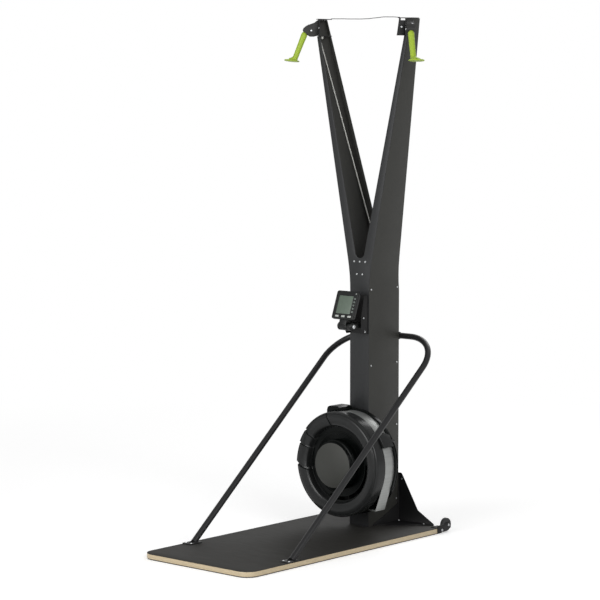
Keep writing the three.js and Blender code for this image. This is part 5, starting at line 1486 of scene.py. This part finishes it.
class ERGOMETER_OT_fasteners(bpy.types.Operator):
    """Adds the screws, bolts and rollers that hold the frame together"""

    bl_idname = "ergometer.fasteners"
    bl_label = "Fasteners"

    # A head's socket floor and top as shares of its height, and the socket's eased rim
    socket_floor, socket_top = 0.45, 0.96
    socket_rim = 0.3
    # A head's dome, as shares of its radius and height
    dome = ((0.62, 0.93), (0.86, 0.66), (1, 0.18), (1, 0))
    # Points no farther out from the socket than this are drawn in to its hexagon
    socket_reach = 0.05

    # Height and socket radius of the screw heads
    plate_head = (2.4, 1.7)
    column_head = (2.3, 1.7)
    cheek_head = (2.2, 1.7)
    # Radius, height and socket radius of the bolt heads
    wheel_bolt = (5.5, 2.6, 2.4)
    pivot_bolt = (8.6, 3.4, 2.6)
    axle_bolt = (5.0, 2.4, 2.0)

    # The ways that a head may face, and how deep it sits in a painted face
    out, front, up = (1, 0, 0), (0, -1, 0), (0, 0, 1)
    sunk = 0.1

    # Place across and height on the column's front, and place along and height on its sides
    crotch_spots = ((-30, 1144), (0, 1144), (30, 1144), (-15, 1091), (15, 1091))
    column_spots = ((1020, 1028), (1191, 1028), (1020, 708), (1191, 708), (1191, 441), (1191, 121))
    column_spots += ((1047, 2096),)
    # Places on the right side, and the way that each head faces
    bracket_spots = (
        ((69.5, 1204.4, 205), front),
        ((63, 1195, 27.2), up),
        ((198, 1195, 27.2), up),
        ((252, 246, 28.2), up),
        ((282, 246, 28.2), up),
    )
    wheel_spots = (((295.2, 1198, 14), out), ((295.2, 1242, 30), out))
    monitor_spots = (((48.4, 973.6, 911.5), out), ((48.4, 982.7, 853), out))
    pivot_spots = (((47.9, 912, 880), out),)
    # The same in the pulley's own frame: forward, across and up
    plate_spots = (((-31.5, -31.5, 10.3), (1, 0, 0)), ((12.0, 8.0, 23.4), (0.4, 0, 0.92)))
    axle_spot = ((0, -17.4, 0), (0, -1, 0))

    # The roller's outline down from the flange that it hangs under, and its place there
    roller = ((0, 0), (5.2, 0), (5.6, -1), (5.6, -8), (5.2, -9), (2.6, -9.4), (2.4, -11), (0, -11))
    roller_edge = 0.5
    roller_place = (233, 1032, 2083)

    def head(self, radius, height, socket):
        """A domed screw head with a hexagon socket, on its own Z."""
        bm = bmesh.new()
        floor = height * self.socket_floor
        outline = [(0, floor), (socket, floor), (socket, height * self.socket_top)]
        outline += [(socket + self.socket_rim, height)]
        outline += [(radius * wide, height * high) for wide, high in self.dome]
        revolve(bm, [*outline, (0, 0)], 24)
        for vert in bm.verts:
            flat = Vector((vert.co.x, vert.co.y))
            if 0 < flat.length < socket + self.socket_reach:
                angle = math.atan2(flat.y, flat.x)
                across = math.cos(math.pi / 6) / math.cos((angle % (math.pi / 3)) - math.pi / 6)
                vert.co.x, vert.co.y = flat.x * across, flat.y * across
        return bm

    def both(self, spots):
        """The spots of the right side, and then those of the left."""
        return [
            ((side * x, y, z), (side * facing[0], *facing[1:]))
            for _, side in SIDES
            for (x, y, z), facing in spots
        ]

    def group(self, scene, name, slot, spots, radius, height, socket):
        """One piece of like screws: each spot is a place and the way its head faces."""
        every = bmesh.new()
        pattern = self.head(radius, height, socket)
        form = bpy.data.meshes.new("head")
        pattern.to_mesh(form)
        pattern.free()
        for spot, facing in spots:
            one = bmesh.new()
            one.from_mesh(form)
            turn = Vector(facing).to_track_quat("Z", "Y").to_matrix().to_4x4()
            one.transform(Matrix.Translation(place(*spot)) @ turn @ TO_METRES)
            mesh = bpy.data.meshes.new("one")
            one.to_mesh(mesh)
            one.free()
            every.from_mesh(mesh)
            bpy.data.meshes.remove(mesh)
        bpy.data.meshes.remove(form)
        finish_piece(scene, name, every, slot, "frame")

    def execute(self, context):
        scene = context.scene
        radius = scene.ergometer_sizes.screw_radius / MM
        crotch = [((x, arm_front(z) - self.sunk, z), self.front) for x, z in self.crotch_spots]
        column = [((arm_outer(z) - self.sunk, y, z), self.out) for y, z in self.column_spots]
        self.group(scene, "crotch_screws", "zinc", crotch, radius, *self.plate_head)
        self.group(scene, "column_screws", "zinc", self.both(column), radius, *self.column_head)
        self.group(scene, "bracket_screws", "zinc", self.both(self.bracket_spots), radius, *self.plate_head)
        self.group(scene, "wheel_screws", "steel", self.both(self.wheel_spots), *self.wheel_bolt)
        self.group(scene, "monitor_screws", "zinc", self.both(self.monitor_spots), radius, *self.cheek_head)
        self.group(scene, "pivot_bolt", "zinc", self.pivot_spots, *self.pivot_bolt)
        for name, side in SIDES:
            self.arm_top(scene, name, side, radius)
        return {"FINISHED"}

    def arm_top(self, scene, name, side, radius):
        """The pulley housing's plate screws and axle bolt, and the pale roller under the lower flange."""
        to_frame = mirror_x(side) @ pulley_frame()
        plate = [self.seat(to_frame, *spot) for spot in self.plate_spots]
        self.group(scene, f"plate_screws_{name}", "zinc", plate, radius, *self.cheek_head)
        axle = [self.seat(to_frame, *self.axle_spot)]
        self.group(scene, f"axle_bolt_{name}", "zinc", axle, *self.axle_bolt)
        bm = bmesh.new()
        revolve(bm, soften(self.roller, self.roller_edge), 32)
        x, y, z = self.roller_place
        hang = Matrix.Translation(place(side * x, y, z)) @ TO_METRES
        finish_piece(scene, f"roller_{name}", bm, "pale_nylon", "frame", matrix=hang)

    def seat(self, to_frame, spot, facing):
        """A spot and a facing of the pulley's own frame, as the screws' other spots are given."""
        point = to_frame @ Vector(spot) / MM
        way = to_frame.to_3x3() @ Vector(facing)
        return (point.x, point.y - DECK_FRONT, point.z), way.normalized()


class ERGOMETER_OT_monitor_trim(bpy.types.Operator):
    """Adds the raised bezel round the monitor's display, and its sensor dot"""

    bl_idname = "ergometer.monitor_trim"
    bl_label = "Monitor Trim"

    # The display's window: its middle on the monitor's face, its width and height, and its corners
    window_middle = (-2.5, 1.5)
    window_size = (77.6, 78.6)
    window_corner = 2.5
    # The bezel's width, its foot's and top's heights over the face, and its eased inner and outer edges
    bezel_width = 2.2
    bezel_foot, bezel_top = -0.4, 0.9
    inner_ease, outer_ease = 0.4, 0.6
    # The sensor dot: its outline, its eased edge and its place on the face
    dot = ((0, -0.5), (2.3, -0.5), (2.3, 0.7), (0, 0.9))
    dot_edge = 0.3
    dot_place = (47.5, 50.5, 0)

    def bezel(self, bm):
        """A rounded frame round the display's window."""
        (cx, cy), (w, h) = self.window_middle, self.window_size
        low, high, wide, corner = self.bezel_foot, self.bezel_top, self.bezel_width, self.window_corner
        # How far each loop lies outside the window, and its height
        section = ((0, low), (0, high - self.inner_ease), (self.inner_ease, high))
        section += ((wide - self.outer_ease, high), (wide, high - self.outer_ease), (wide, low))
        loops = []
        for grow, z in section:
            loop = []
            for quarter, (sx, sy) in enumerate(((1, 1), (-1, 1), (-1, -1), (1, -1))):
                for k in range(5):
                    a = math.pi / 2 * (quarter + k / 4)
                    r = corner + grow
                    x = cx + sx * (w / 2 - corner) + r * math.cos(a)
                    y = cy + sy * (h / 2 - corner) + r * math.sin(a)
                    loop.append(bm.verts.new((x, y, z)))
            loops.append(loop)
        for a, b in zip(loops, loops[1:] + loops[:1]):
            for i in range(len(a)):
                j = (i + 1) % len(a)
                bm.faces.new((a[i], a[j], b[j], b[i]))
        bmesh.ops.recalc_face_normals(bm, faces=bm.faces)

    def execute(self, context):
        scene = context.scene
        bm = bmesh.new()
        self.bezel(bm)
        finish_piece(scene, "display_bezel", bm, "housing_plastic", "monitor", matrix=monitor_frame())
        bm = bmesh.new()
        revolve(bm, soften(self.dot, self.dot_edge), 24)
        dot = monitor_frame() @ Matrix.Translation(self.dot_place)
        finish_piece(scene, "sensor_dot", bm, "key", "monitor", matrix=dot)
        return {"FINISHED"}


class ERGOMETER_PT_panel(bpy.types.Panel):
    """A button for each operator and a field for each property"""

    bl_idname = "ERGOMETER_PT_panel"
    bl_label = "Ski Ergometer"
    bl_space_type = "VIEW_3D"
    bl_region_type = "UI"
    bl_category = "Ski Ergometer"

    def draw(self, context):
        scene = context.scene
        column = self.layout.column()
        for operator in OPERATORS:
            column.operator(operator.bl_idname, text=operator.bl_label)
        for group in (scene.ergometer_colours, scene.ergometer_sizes, scene.ergometer_studio):
            for key in group.__annotations__:
                column.prop(group, key)


GROUPS = (ErgometerColours, ErgometerSizes, ErgometerStudio)
OPERATORS = (
    ERGOMETER_OT_stage,
    ERGOMETER_OT_hard_pieces,
    ERGOMETER_OT_front_shell,
    ERGOMETER_OT_centre_cap,
    ERGOMETER_OT_handles,
    ERGOMETER_OT_brace_tubes,
    ERGOMETER_OT_cords,
    ERGOMETER_OT_fasteners,
    ERGOMETER_OT_monitor_trim,
)


def register():
    for kind in (*GROUPS, *OPERATORS, ERGOMETER_PT_panel):
        bpy.utils.register_class(kind)
    bpy.types.Scene.ergometer_colours = PointerProperty(type=ErgometerColours)
    bpy.types.Scene.ergometer_sizes = PointerProperty(type=ErgometerSizes)
    bpy.types.Scene.ergometer_studio = PointerProperty(type=ErgometerStudio)


def unregister():
    del bpy.types.Scene.ergometer_studio
    del bpy.types.Scene.ergometer_sizes
    del bpy.types.Scene.ergometer_colours
    for kind in reversed((*GROUPS, *OPERATORS, ERGOMETER_PT_panel)):
        bpy.utils.unregister_class(kind)


def main():
    register()
    for operator in OPERATORS:
        group, name = operator.bl_idname.split(".")
        getattr(getattr(bpy.ops, group), name)()


if __name__ == "__main__":
    main()
